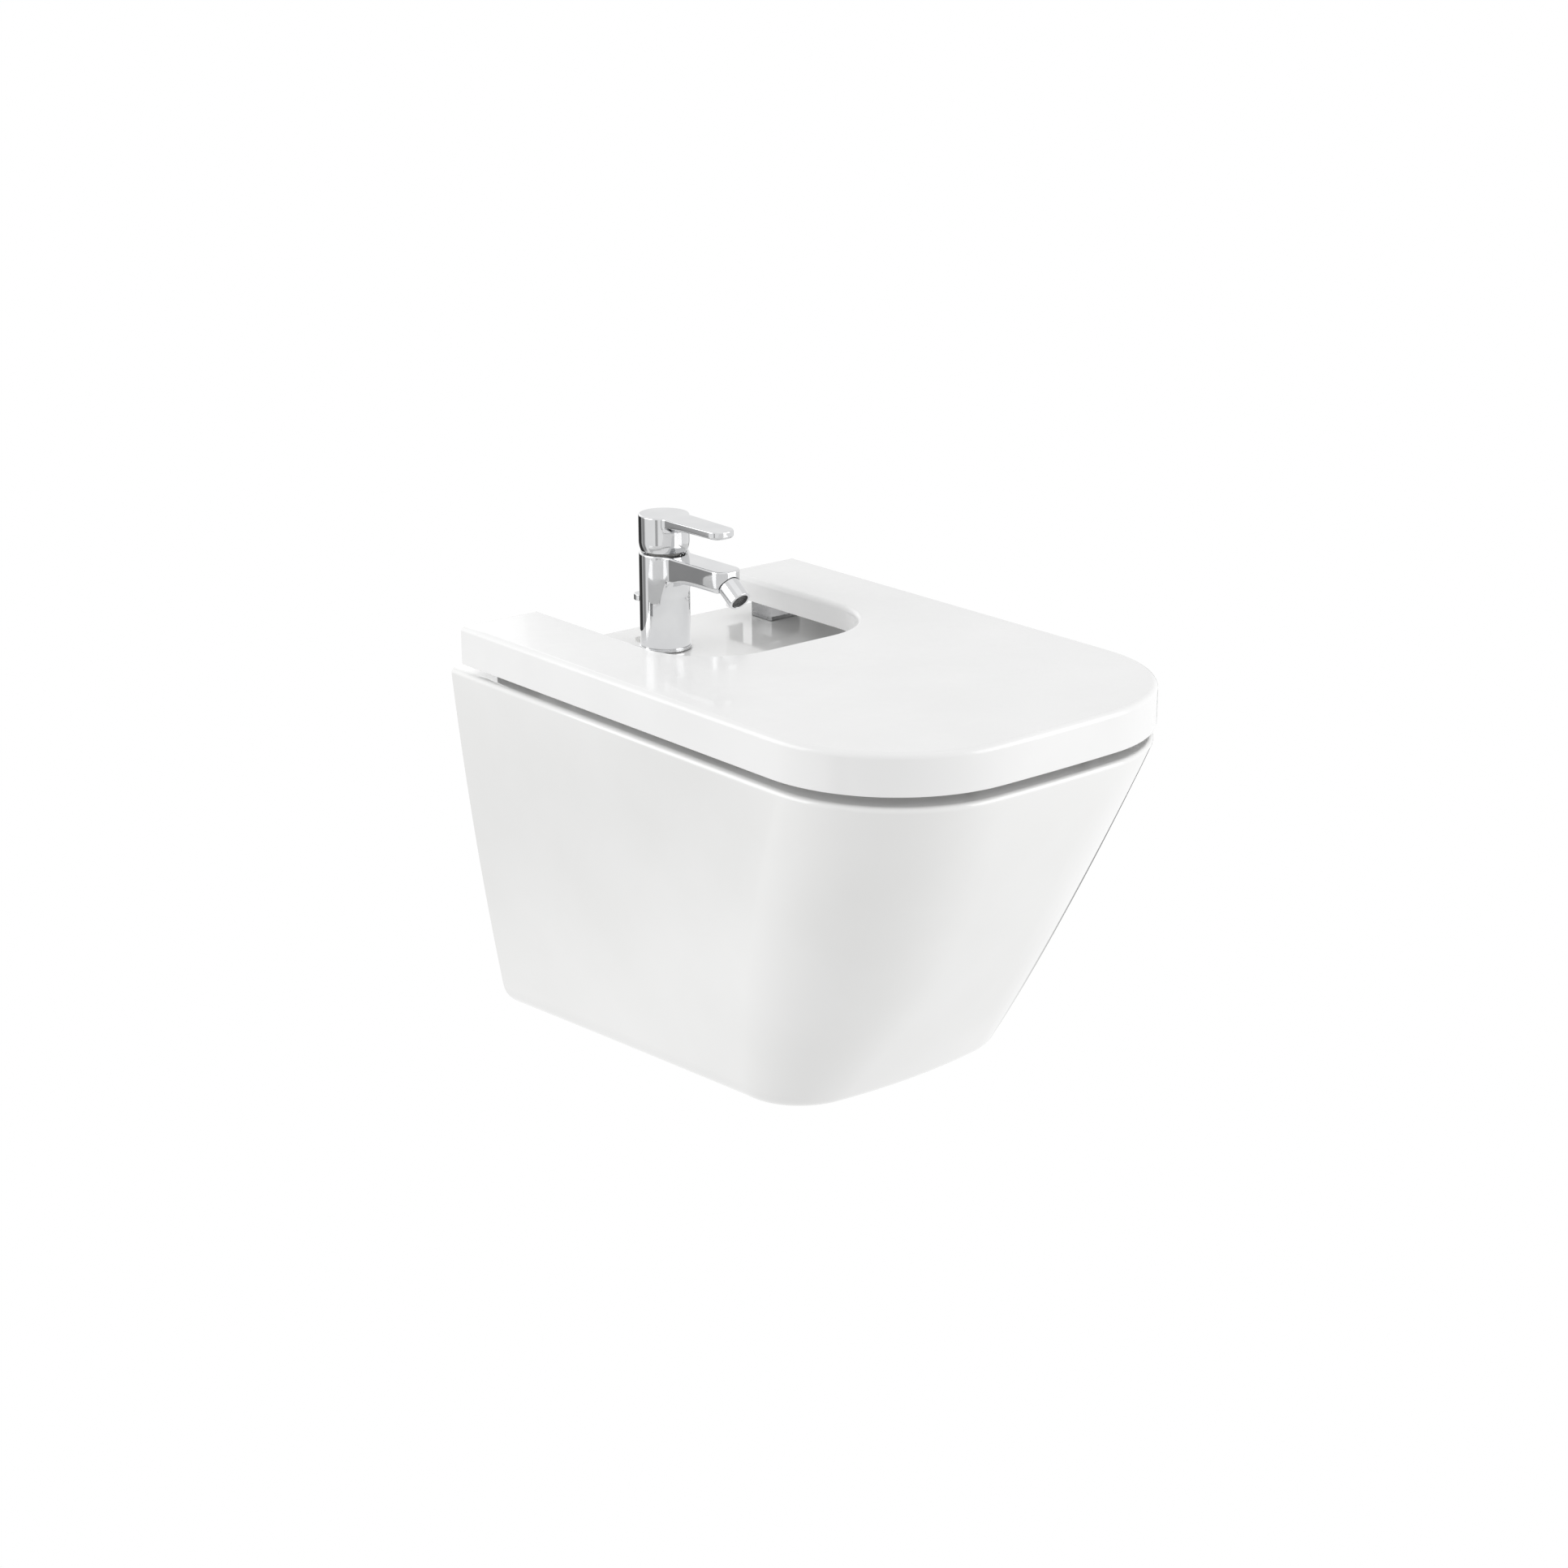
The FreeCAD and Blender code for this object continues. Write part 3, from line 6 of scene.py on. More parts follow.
# %% The frame
import bmesh
import bpy
import json
import math
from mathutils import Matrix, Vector

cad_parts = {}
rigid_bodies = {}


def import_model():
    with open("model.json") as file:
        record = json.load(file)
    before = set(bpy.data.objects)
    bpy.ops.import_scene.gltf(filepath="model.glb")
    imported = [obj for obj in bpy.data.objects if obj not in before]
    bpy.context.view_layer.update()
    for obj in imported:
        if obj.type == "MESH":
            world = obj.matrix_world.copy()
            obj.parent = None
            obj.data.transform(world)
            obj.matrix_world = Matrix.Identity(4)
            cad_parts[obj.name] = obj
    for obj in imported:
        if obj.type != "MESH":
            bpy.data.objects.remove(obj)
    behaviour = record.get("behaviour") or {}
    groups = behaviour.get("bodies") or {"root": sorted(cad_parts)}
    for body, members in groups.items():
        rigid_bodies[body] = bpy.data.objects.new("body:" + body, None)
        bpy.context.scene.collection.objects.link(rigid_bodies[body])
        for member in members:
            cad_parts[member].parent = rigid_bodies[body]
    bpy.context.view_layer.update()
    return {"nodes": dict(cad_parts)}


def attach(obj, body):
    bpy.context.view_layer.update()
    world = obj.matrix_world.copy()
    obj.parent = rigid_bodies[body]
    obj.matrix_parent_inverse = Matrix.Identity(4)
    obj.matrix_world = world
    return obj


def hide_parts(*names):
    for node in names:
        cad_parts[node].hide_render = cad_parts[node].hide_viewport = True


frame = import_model()
nodes = frame["nodes"]

# %% [markdown]
# Lengths in this lesson are typed in millimetres, as on a drawing, and MM turns them into Blender's metres.
# X points to the right of the bidet, Y into the wall and Z up; the origin lies on the wall, midway between
# the two bolts that the bowl hangs on.

# %% Millimetres, and picking up an object
MM = 0.001


def activate(piece):
    """Makes a piece the only selected object, as a click on it does."""
    bpy.ops.object.select_all(action="DESELECT")
    piece.select_set(True)
    bpy.context.view_layer.objects.active = piece


# %% [markdown]
# Every finish starts from one shader with a texture that sits on the object itself, so it doesn't swim when
# a piece moves. Noise gives a slight change of tone, a change of roughness and a bump, each at its own scale.
# A scale of 100 means about a hundred specks in a metre, so one speck is about a centimetre. A painted image
# could do the same, but noise has no seams and needs no unwrapping.

# %% A helper for finishes
NOISE_LOW, NOISE_HIGH = 0.3, 0.7
COAT_ROUGHNESS = 0.03
EVEN = (1, 1, 1)


def noise(tree, scale, detail=3.0, stretch=EVEN):
    """Noise fixed to the object; stretch makes the specks long or flat."""
    place = tree.nodes.new("ShaderNodeTexCoord")
    mapping = tree.nodes.new("ShaderNodeMapping")
    mapping.inputs["Scale"].default_value = stretch
    texture = tree.nodes.new("ShaderNodeTexNoise")
    texture.inputs["Scale"].default_value = scale
    texture.inputs["Detail"].default_value = detail
    tree.links.new(place.outputs["Object"], mapping.inputs["Vector"])
    tree.links.new(mapping.outputs["Vector"], texture.inputs["Vector"])
    return texture.outputs["Fac"]


def graded(tree, factor, low, high):
    """A colour that goes from low to high with the noise."""
    ramp = tree.nodes.new("ShaderNodeValToRGB")
    first, last = ramp.color_ramp.elements
    first.position, last.position = NOISE_LOW, NOISE_HIGH
    first.color = (*low, 1)
    last.color = (*high, 1)
    tree.links.new(factor, ramp.inputs["Fac"])
    return ramp.outputs["Color"]


def ranged(tree, factor, low, high):
    """A number that goes from low to high with the noise."""
    spread = tree.nodes.new("ShaderNodeMapRange")
    spread.inputs["From Min"].default_value = NOISE_LOW
    spread.inputs["From Max"].default_value = NOISE_HIGH
    spread.inputs["To Min"].default_value = low
    spread.inputs["To Max"].default_value = high
    tree.links.new(factor, spread.inputs["Value"])
    return spread.outputs["Result"]


def finish(name, tone, shine, relief, metal=0.0, coat=0.0):
    """tone: two colours and a scale; shine: two roughnesses, a scale and a stretch;
    relief: a scale, a height in millimetres and a strength."""
    material = bpy.data.materials.new(name)
    material.use_nodes = True
    tree = material.node_tree
    shader = tree.nodes["Principled BSDF"]
    shader.inputs["Metallic"].default_value = metal
    shader.inputs["Coat Weight"].default_value = coat
    shader.inputs["Coat Roughness"].default_value = COAT_ROUGHNESS
    low, high, scale = tone
    tree.links.new(graded(tree, noise(tree, scale), low, high), shader.inputs["Base Color"])
    smooth, rough, scale, stretch = shine
    dullness = ranged(tree, noise(tree, scale, 5.0, stretch), smooth, rough)
    tree.links.new(dullness, shader.inputs["Roughness"])
    scale, height, strength = relief
    bump = tree.nodes.new("ShaderNodeBump")
    bump.inputs["Distance"].default_value = height * MM
    bump.inputs["Strength"].default_value = strength
    tree.links.new(noise(tree, scale, 4.0), bump.inputs["Height"])
    tree.links.new(bump.outputs["Normal"], shader.inputs["Normal"])
    print("finish", name, "with", len(tree.nodes), "nodes")
    return material


# %% [markdown]
# Sanitary ware is clay under a thick glass glaze. The glaze pools and thins, so it has a very fine waviness
# like orange peel, and the body shows through it in a slightly warm white. A clear coat over a white shader
# gives that depth more simply than a real layer of glass. The lid is pressed from a white resin powder; its
# skin is a little duller than the glaze and finer in grain.

# %% Finishes of the bowl and the lid
finishes = {}


def keep(name, **looks):
    """Makes a finish and keeps it under its name."""
    finishes[name] = finish(name, **looks)


keep("glazed_ceramic", tone=((0.84, 0.84, 0.832), (0.875, 0.875, 0.87), 9), shine=(0.06, 0.12, 40, EVEN),
     relief=(260, 0.05, 0.10), coat=0.6)
keep("lid_shell", tone=((0.85, 0.85, 0.848), (0.88, 0.88, 0.878), 12), shine=(0.16, 0.24, 90, EVEN),
     relief=(900, 0.02, 0.08), coat=0.15)

# %% [markdown]
# The tap is cast brass, polished and plated with chrome, which mirrors the room in a slightly bluish grey.
# Handling leaves faint smears, seen as patches that are a little less sharp. The hinge blocks are a
# satin-plated metal; their noise is stretched along X, which reads as fine brushing along their length.

# %% Finishes of the metal pieces
keep("chrome", tone=((0.64, 0.645, 0.655), (0.70, 0.705, 0.71), 35), shine=(0.025, 0.07, 60, EVEN),
     relief=(1400, 0.004, 0.06), metal=1.0)
keep("hinge_metal", tone=((0.32, 0.322, 0.326), (0.41, 0.412, 0.415), 60),
     shine=(0.16, 0.30, 220, (0.1, 1, 1)), relief=(900, 0.01, 0.10), metal=1.0)
keep("steel", tone=((0.44, 0.45, 0.46), (0.60, 0.60, 0.60), 120), shine=(0.25, 0.45, 160, EVEN),
     relief=(700, 0.02, 0.15), metal=1.0)
keep("brass", tone=((0.62, 0.44, 0.17), (0.78, 0.58, 0.27), 90), shine=(0.20, 0.40, 140, EVEN),
     relief=(800, 0.02, 0.12), metal=1.0)

# %% [markdown]
# The rest is rubber, plastic and the hard ceramic of the tap's discs. Rubber is dull and slightly dusty,
# moulded plastic has a fine pore, and ground ceramic is smooth and cream white.

# %% Finishes of the rubber, plastic and disc pieces
keep("black_rubber", tone=((0.018, 0.018, 0.019), (0.035, 0.035, 0.036), 150), shine=(0.55, 0.75, 200, EVEN),
     relief=(1200, 0.03, 0.2))
keep("buffer_rubber", tone=((0.60, 0.60, 0.60), (0.68, 0.68, 0.675), 150), shine=(0.45, 0.60, 200, EVEN),
     relief=(1200, 0.03, 0.15))
keep("pale_plastic", tone=((0.60, 0.60, 0.585), (0.68, 0.68, 0.665), 80), shine=(0.30, 0.45, 180, EVEN),
     relief=(1000, 0.02, 0.15))
keep("disc_ceramic", tone=((0.74, 0.70, 0.61), (0.80, 0.77, 0.69), 120), shine=(0.15, 0.28, 200, EVEN),
     relief=(900, 0.01, 0.1))
keep("mesh_plastic", tone=((0.10, 0.101, 0.104), (0.16, 0.161, 0.164), 400), shine=(0.30, 0.45, 600, EVEN),
     relief=(2500, 0.01, 0.2))

# %% [markdown]
# The pieces that are hidden inside, and the small fittings whose drawn shape is already right, keep their CAD
# mesh and only take their finish. The cartridge nut is brass, but it shows as a thin ring in the gap below
# the handle, where such a nut is plated, so it takes the grey of the hinges.

# %% Finishes onto the CAD pieces
for node in nodes.values():
    for place in node.material_slots:
        place.material = finishes[place.material.name.split(".")[0]]
nodes["cartridge_nut"].material_slots[0].material = finishes["hinge_metal"]
print("finishes set on", len(nodes), "CAD pieces")

# %% [markdown]
# Most pieces here are skins that close on themselves: a bowl, a lid, a turned knob. Each starts as a flat
# grid, like a sheet of clay, which is rolled round until its two sides meet. Every point of the sheet is put
# on the outline that the piece has at that height, the seam is merged and the two open ends are closed. A
# box under a subdivision would be quicker, but its corners would only come near the measured ones.

# %% A sheet that is rolled into a piece
SEAM = 0.005


def rolled_sheet(name, rings):
    """A closed piece from a grid whose rows lie on rings of points, given in millimetres."""
    columns = len(rings[0])
    bpy.ops.object.select_all(action="DESELECT")
    bpy.ops.mesh.primitive_grid_add(x_subdivisions=columns, y_subdivisions=len(rings) - 1, size=1)
    piece = bpy.context.object
    piece.name = piece.data.name = name
    points = sorted(piece.data.vertices, key=lambda point: (round(point.co.y, 5), round(point.co.x, 5)))
    for count, point in enumerate(points):
        row, column = divmod(count, columns + 1)
        point.co = rings[row][column % columns] * MM
    bpy.ops.object.mode_set(mode="EDIT")
    bpy.ops.mesh.select_mode(type="VERT")
    bpy.ops.mesh.select_all(action="SELECT")
    bpy.ops.mesh.remove_doubles(threshold=SEAM * MM)
    bpy.ops.mesh.select_all(action="DESELECT")
    bpy.ops.mesh.select_non_manifold()
    bpy.ops.mesh.fill_holes(sides=0)
    bpy.ops.mesh.select_all(action="SELECT")
    bpy.ops.mesh.normals_make_consistent(inside=False)
    bpy.ops.object.mode_set(mode="OBJECT")
    return piece


def carve(piece, cutter, operation="DIFFERENCE"):
    """Cuts the cutter's shape out of a piece, or adds it, and throws the cutter away."""
    activate(piece)
    bpy.ops.object.modifier_add(type="BOOLEAN")
    cut = piece.modifiers[-1]
    cut.object, cut.operation, cut.solver = cutter, operation, "EXACT"
    bpy.ops.object.modifier_apply(modifier=cut.name)
    bpy.data.objects.remove(cutter)


def settle(piece, body, replaced, slot, sharp=35):
    """Smooths a piece where its faces meet gently, gives it its finish and fixes it to its body."""
    activate(piece)
    bpy.ops.object.shade_smooth_by_angle(angle=math.radians(sharp))
    bpy.ops.object.modifier_add(type="WEIGHTED_NORMAL")
    piece.modifiers[-1].keep_sharp = True
    bpy.ops.object.modifier_apply(modifier=piece.modifiers[-1].name)
    piece.data.materials.clear()
    piece.data.materials.append(finishes[slot])
    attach(piece, body)
    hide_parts(*replaced)
    print("piece", piece.name, "has", len(piece.data.polygons), "faces")


# %% [markdown]
# Seen from above, the bowl and the lid share one kind of outline: a straight rear edge against the wall,
# sides that draw in slightly, two round corners and a front that bows out. Each corner's arc runs smoothly
# into the side and into the front, as a draughtsman would draw it. Every stretch of the outline has a set
# number of points, so that outlines of any size match point by point.

# %% The outline of the bowl and the lid
SIDE, CORNER, FRONT, REAR = 16, 20, 12, 10


def quarter(steps):
    """Angles from 0 to a right angle, in radians."""
    return [math.pi / 2 * step / steps for step in range(steps + 1)]


def arc(centre, radius, start, end, steps):
    """Points of an arc, without its last one; angles in radians."""
    turns = [start + (end - start) * step / steps for step in range(steps)]
    return [centre + Vector((math.cos(turn), math.sin(turn))) * radius for turn in turns]


def mirrored(points):
    """The same points on the other side, in the order in which an outline comes back."""
    return [Vector((-point.x, point.y)) for point in reversed(points)]


def tongue(half_width, rear, front, corner, bow, taper):
    """Outline from the rear right corner round the front to the rear left corner."""
    across = half_width - taper
    sweep = (across ** 2 + bow ** 2) / (2 * bow)
    middle = Vector((0, front + sweep))
    way = Vector((-taper, front - rear)).normalized()
    inward = Vector((way.y, -way.x))
    start = Vector((half_width, rear))
    offset = start + inward * corner
    along = (offset - middle).dot(way)
    reach = along ** 2 - (offset - middle).length_squared + (sweep - corner) ** 2
    centre = offset + way * (math.sqrt(reach) - along)
    side_end = centre - inward * corner
    side_turn = math.atan2(-inward.y, -inward.x)
    front_turn = math.atan2(centre.y - middle.y, centre.x - middle.x)
    right = [start.lerp(side_end, step / SIDE) for step in range(SIDE)]
    right += arc(centre, corner, side_turn, front_turn, CORNER)
    right += arc(middle, sweep, front_turn, -math.pi / 2, FRONT)
    return right + [Vector((0, front))] + mirrored(right)


# %% [markdown]
# The bowl is cast in a plaster mould in one piece. Below the rim its sides lean in, fuller half way down than
# a straight cone would be, the underside climbs a little to the front, and every edge is thrown round because
# glaze runs off sharp ones. It could be sculpted from a cube, but then its sizes would be lost. So its
# section is drawn again at many heights; a soft round at the rim and a larger one at the foot are further
# rows of the same sheet. Each size below is given at the shoulder, at the foot, and by how much it is fuller
# half way.

# %% The bowl's outer skin
RIM, SHOULDER, FOOT = 85.0, 75.0, -237.7
RIM_ROUND, FOOT_ROUND, FOOT_RISE = 5.0, 29.2, 3.4
HALF_WIDTH, LENGTH = (177.0, 131.8, 3.6), (538.4, 385.8, 13.3)
CORNER_RADIUS, FRONT_BOW, SIDE_TAPER = (118.0, 60.0, 25.0), (7.8, 18.8, 0), (2.5, 6.2, 0)
WALL_ROWS, FINE_ROWS, ROUND_ROWS = 26, 60, 8
BESIDE = 6


def fuller(sizes, share):
    """A size on the way from the shoulder to the foot."""
    top, foot, bulge = sizes
    return top + (foot - top) * share + 4 * bulge * share * (1 - share)


def bowl_ring(level, inset, rear):
    """The bowl's outline at a level, as points in space; it tips up to the front towards the foot."""
    share = (SHOULDER - level) / (SHOULDER - FOOT)
    half_width, corner = fuller(HALF_WIDTH, share) - inset, fuller(CORNER_RADIUS, share) - inset
    front = inset - fuller(LENGTH, share)
    outline = tongue(half_width, rear, front, corner, fuller(FRONT_BOW, share), fuller(SIDE_TAPER, share))
    rise = math.tan(math.radians(FOOT_RISE * max(share, 0)))
    return [Vector((point.x, point.y, level - point.y * rise)) for point in outline]


def foot_round(above, foot, inner, radius):
    """Rows of the round between the wall and the underside."""
    rows = [[] for _ in range(ROUND_ROWS + 1)]
    for up, corner, inside in zip(above, foot, inner):
        wall, floor = (up - corner).normalized(), (inside - corner).normalized()
        half = wall.angle(floor) / 2
        centre = corner + (wall + floor).normalized() * (radius / math.sin(half))
        start = corner + wall * (radius / math.tan(half)) - centre
        end = corner + floor * (radius / math.tan(half)) - centre
        for step, row in enumerate(rows):
            row.append(centre + start.slerp(end, step / ROUND_ROWS).normalized() * radius)
    return rows


def bowl_skin(name, top, inset, rear, rim_round, foot_radius):
    """The bowl's form from a level top down, drawn in by a wall's thickness."""
    rings = []
    for turn in quarter(ROUND_ROWS) if rim_round else [0]:
        level = top - rim_round * (1 - math.cos(turn))
        rings.append(bowl_ring(level, inset + rim_round * (1 - math.sin(turn)), rear))
    bottom, lowest = FOOT + inset, top - rim_round
    rounded = foot_round(bowl_ring(bottom + BESIDE, inset, rear), bowl_ring(bottom, inset, rear),
                         bowl_ring(bottom, inset + BESIDE, rear), foot_radius)
    levels = [lowest + (bottom - lowest) * step / FINE_ROWS for step in range(FINE_ROWS + 1)]
    fine = [bowl_ring(level, inset, rear) for level in levels]
    for row in range(1, WALL_ROWS):
        ring = []
        for column, end in enumerate(rounded[0]):
            share = row / WALL_ROWS * (lowest - end.z) / (lowest - fine[-1][column].z) * FINE_ROWS
            near = min(int(share), FINE_ROWS - 1)
            ring.append(fine[near][column].lerp(fine[near + 1][column], share - near))
        rings.append(ring)
    rings += rounded
    for ring in rings:
        ring += [ring[-1].lerp(ring[0], step / REAR) for step in range(1, REAR)]
    return rolled_sheet(name, rings)


bowl = bowl_skin("bowl_skin", RIM, 0, 0, RIM_ROUND, FOOT_ROUND)
print("outer skin:", [round(side / MM, 1) for side in bowl.dimensions], "mm")

# %% [markdown]
# Under the deck the bowl is hollow, with walls as thick as a slip casting's, and the basin hangs into that
# hollow. The basin's sides drop steeply and turn in ever faster to a small floor. Solidify could give the
# walls their thickness, but not round a basin. So the hollow is cut out as a piece of its own, and a second,
# larger copy of the basin is taken off it first, which leaves a wall of clay round the basin.

# %% The hollow inside and the basin
DECK_UNDER, SHELL, REAR_WALL, INNER_ROUND = 63.0, 12.0, 16.0, 17.2
DRAIN_Y, BASIN_DEPTH, BASIN_LIP = -285.0, 120.0, 7.0
BASIN_HALF, BASIN_FRONT, BASIN_REAR, BASIN_CORNER = 138.0, -500.0, -172.0, 112.0
DRAW_IN, STEEP, FLAT = 74.0, 2.4, 2.2
BOX_CORNER, BASIN_ROWS = 14, 24


def rounded_box(half, y_low, y_high, radius):
    """Outline of a rectangle with round corners."""
    corners = [(half - radius, y_high - radius), (radius - half, y_high - radius),
               (radius - half, y_low + radius), (half - radius, y_low + radius)]
    outline = []
    for count, corner in enumerate(corners):
        start = count * math.pi / 2
        end = start + math.pi / 2
        outline += arc(Vector(corner), radius, start, end, BOX_CORNER)
        outline.append(Vector(corner) + Vector((math.cos(end), math.sin(end))) * radius)
    return outline


def basin_ring(share, growth, depth):
    """The basin's outline at a share of its depth, grown by the thickness of its wall."""
    inset = DRAW_IN * (1 - (1 - share ** STEEP) ** (1 / FLAT))
    front, rear = BASIN_FRONT + inset - growth, BASIN_REAR - inset + growth
    corner = BASIN_CORNER - 0.9 * inset + growth
    outline = rounded_box(BASIN_HALF - inset + growth, front, rear, corner)
    return [Vector((point.x, point.y, RIM - share * depth)) for point in outline]


def basin_skin(name, growth, depth, lip):
    """The basin's form, with a round lip; its first row stands above the rim, so the cut goes through."""
    rings = []
    for turn in quarter(ROUND_ROWS)[:-1] if lip else []:
        ring = basin_ring(0, growth + lip * (1 - math.sin(turn)), depth)
        rings.append([point - Vector((0, 0, lip * (1 - math.cos(turn)))) for point in ring])
    first = lip / depth
    for turn in quarter(BASIN_ROWS):
        share = first + (1 - first) * math.sin(turn)
        rings.append(basin_ring(min(share, 1), growth, depth))
    rings.insert(0, [point + Vector((0, 0, 3)) for point in rings[0]])
    return rolled_sheet(name, rings)


cavity = bowl_skin("cavity", DECK_UNDER, SHELL, -REAR_WALL, 0, INNER_ROUND)
carve(cavity, basin_skin("basin_wall", SHELL, BASIN_DEPTH + SHELL, 0))
carve(bowl, cavity)
carve(bowl, basin_skin("basin", 0, BASIN_DEPTH, BASIN_LIP))
print("bowl with its hollow:", len(bowl.data.polygons), "faces")

# %% [markdown]
# The openings are cut while the clay is leather-hard: holes in the deck for the tap, the lift rod and the two
# hinges, a seat and a hole for the waste, two bolt holes and a pipe window in the rear wall, and a spanner
# opening underneath. Faces could be inset and pushed through, but a tool that is thrown away after its cut
# keeps the skin around the hole as it was.

# %% The bowl's openings
TAP_Y, ROD_Y = -65.9, -34.9
HINGE_X, HINGE_Y, BOLT_X = 138.5, -48.5, 90
BASIN_FLOOR = RIM - BASIN_DEPTH


def drill(piece, radius, start, end):
    """Cuts a round hole from one point to another."""
    way = Vector(end) - Vector(start)
    bpy.ops.mesh.primitive_cylinder_add(vertices=64, radius=radius * MM, depth=way.length * MM,
                                        location=(Vector(start) + way / 2) * MM,
                                        rotation=way.to_track_quat("Z", "Y").to_euler())
    carve(piece, bpy.context.object)


def deck_hole(radius, x, y):
    """Drills through the deck from below."""
    drill(bowl, radius, (x, y, 41), (x, y, 107))


def slab(name, outline, z_low, z_high):
    """A cutter with an outline, between two heights."""
    return rolled_sheet(name, [[Vector((point.x, point.y, z)) for point in outline] for z in (z_low, z_high)])


deck_hole(17.5, 0, TAP_Y)
deck_hole(5.6, 0, ROD_Y)
drill(bowl, 23.0, (0, DRAIN_Y, -60), (0, DRAIN_Y, 0))
drill(bowl, 32.1, (0, DRAIN_Y, BASIN_FLOOR - 4), (0, DRAIN_Y, BASIN_FLOOR + 60))
for side in (-1, 1):
    deck_hole(7.0, side * HINGE_X, HINGE_Y)
    drill(bowl, 9.0, (side * BOLT_X, 20, 0), (side * BOLT_X, -40, 0))
carve(bowl, slab("hatch", rounded_box(85.0, -150.0, -45.0, 25.0), -260, -190))
window = slab("window", rounded_box(104.0, -195.0, -45.0, 25.0), -10, 30)
window.rotation_euler.x = math.radians(90)
carve(bowl, window)
bowl.name = bowl.data.name = "glazed_bowl"
settle(bowl, "root", ["bowl"], "glazed_ceramic")

# %% [markdown]
# The lid is one pressing: a flat top with a soft edge all round, thin walls that hang down from it, and a
# deep notch for the tap whose wall is shorter. A plate with Solidify and Bevel comes close, but walls of two
# heights are easier with one sheet. Its rows run from the roof inside, down the inner wall, round the lower
# edge, up the outer wall and over the soft edge to the top.

# %% The lid
LID_TOP, LID_ROOF, LID_LOW, NOTCH_LOW = 127.0, 123.0, 93.6, 105.5
LID_HALF, LID_FRONT, LID_END, HEEL = 181.0, -542.6, -22.0, -26.0
LID_CORNER, LID_BOW, LID_TAPER, LID_EDGE = 122.0, 7.8, 2.5, 4.8
NOTCH_HALF, NOTCH_END, NOTCH_RADIUS = 103.0, -241.0, 68.0
TURN_X, TURN_Y = -35.0, -173.0
LEG, NOTCH_SIDE, NOTCH_FRONT = 6, 10, 8


def lid_ring(inset):
    """The lid's outline and its notch, drawn in by inset, and the level at which each point's wall ends."""
    end, side, front = LID_END - inset, NOTCH_HALF + inset, NOTCH_END - inset
    heel = min(HEEL, end)
    outside = tongue(LID_HALF - inset, end, inset + LID_FRONT, LID_CORNER - inset, LID_BOW, LID_TAPER)
    leg = [outside[-1].lerp(Vector((-side, end)), step / LEG) for step in range(1, LEG)]
    notch = [Vector((-side, end)), Vector((-side, heel))]
    start, turn = Vector((-side, heel - 0.3)), Vector((-side, TURN_Y))
    notch += [start.lerp(turn, step / NOTCH_SIDE) for step in range(NOTCH_SIDE)]
    notch += arc(Vector((TURN_X, TURN_Y)), NOTCH_RADIUS + inset, math.pi, 1.5 * math.pi, CORNER)
    start, middle = Vector((TURN_X, front)), Vector((0, front))
    notch += [start.lerp(middle, step / NOTCH_FRONT) for step in range(NOTCH_FRONT)]
    lows = [LID_LOW] * (len(outside) + len(leg) + 2)
    lows += [NOTCH_LOW] * (2 * len(notch) - 3)
    lows += [LID_LOW] * (2 + len(leg))
    return outside + leg + notch + [middle] + mirrored(notch) + mirrored(leg), lows


def lid_rows():
    """The sheet's rows: how far each is drawn in, and its height above the wall's end, or its level."""
    rows = [(5.5, None, LID_ROOF), (4.44, None, LID_ROOF - 0.44), (4.0, None, LID_ROOF - 1.5)]
    rows += [(4.0, 1.0, None), (3.7, 0.3, None), (3.0, 0.0, None)]
    rows += [(1.0, 0.0, None), (0.3, 0.3, None), (0.0, 1.0, None)]
    for turn in quarter(10):
        rows.append((LID_EDGE * (1 - math.cos(turn)), None, LID_TOP - LID_EDGE * (1 - math.sin(turn))))
    return rows


sheet = []
for inset, above, level in lid_rows():
    outline, lows = lid_ring(inset)
    levels = [low + above if level is None else level for low in lows]
    sheet.append([Vector((point.x, point.y, height)) for point, height in zip(outline, levels)])
lid = rolled_sheet("lid_pressing", sheet)
print("lid:", [round(size / MM, 1) for size in lid.dimensions], "mm")

# %% [markdown]
# Two slots in the rear wall let the hinges through, and four bosses under the roof hold the rubber buffers.
# Both are plain tools again, the slots' cut out and the bosses' added, because they meet the walls squarely.

# %% The lid's slots and bosses
SLOT_SIZE, SLOT_Y, SLOT_Z = (39, 32, 33.4), -14, 106.3
BOSS_RADIUS, BOSS_HEIGHT, BOSS_Z = 9, 27, 110.3

for side in (-1, 1):
    bpy.ops.mesh.primitive_cube_add(size=MM, location=(side * HINGE_X * MM, SLOT_Y * MM, SLOT_Z * MM),
                                    scale=SLOT_SIZE)
    carve(lid, bpy.context.object)
    for x, y in ((154.0, -150.0), (60.0, -514.0)):
        bpy.ops.mesh.primitive_cylinder_add(vertices=40, radius=BOSS_RADIUS * MM, depth=BOSS_HEIGHT * MM,
                                            location=(side * x * MM, y * MM, BOSS_Z * MM))
        carve(lid, bpy.context.object, "UNION")
lid.name = lid.data.name = "notched_lid"
settle(lid, "lid", ["lid"], "lid_shell")

# %% [markdown]
# The hinge blocks are die-cast. They could be joined from boxes, but a casting has no seams. So a block is a
# cube at its size; cuts across it mark out two ears, which are pulled up out of its top, rounded over the
# hinge pin and then broken at every sharp edge.

# %% The hinge blocks
BLOCK_SIZE, BLOCK_Z = (33, 28, 15), 92.5
EAR_HEIGHT, EAR_ROUND, BROKEN_EDGE = 20.5, 7.4, 0.7


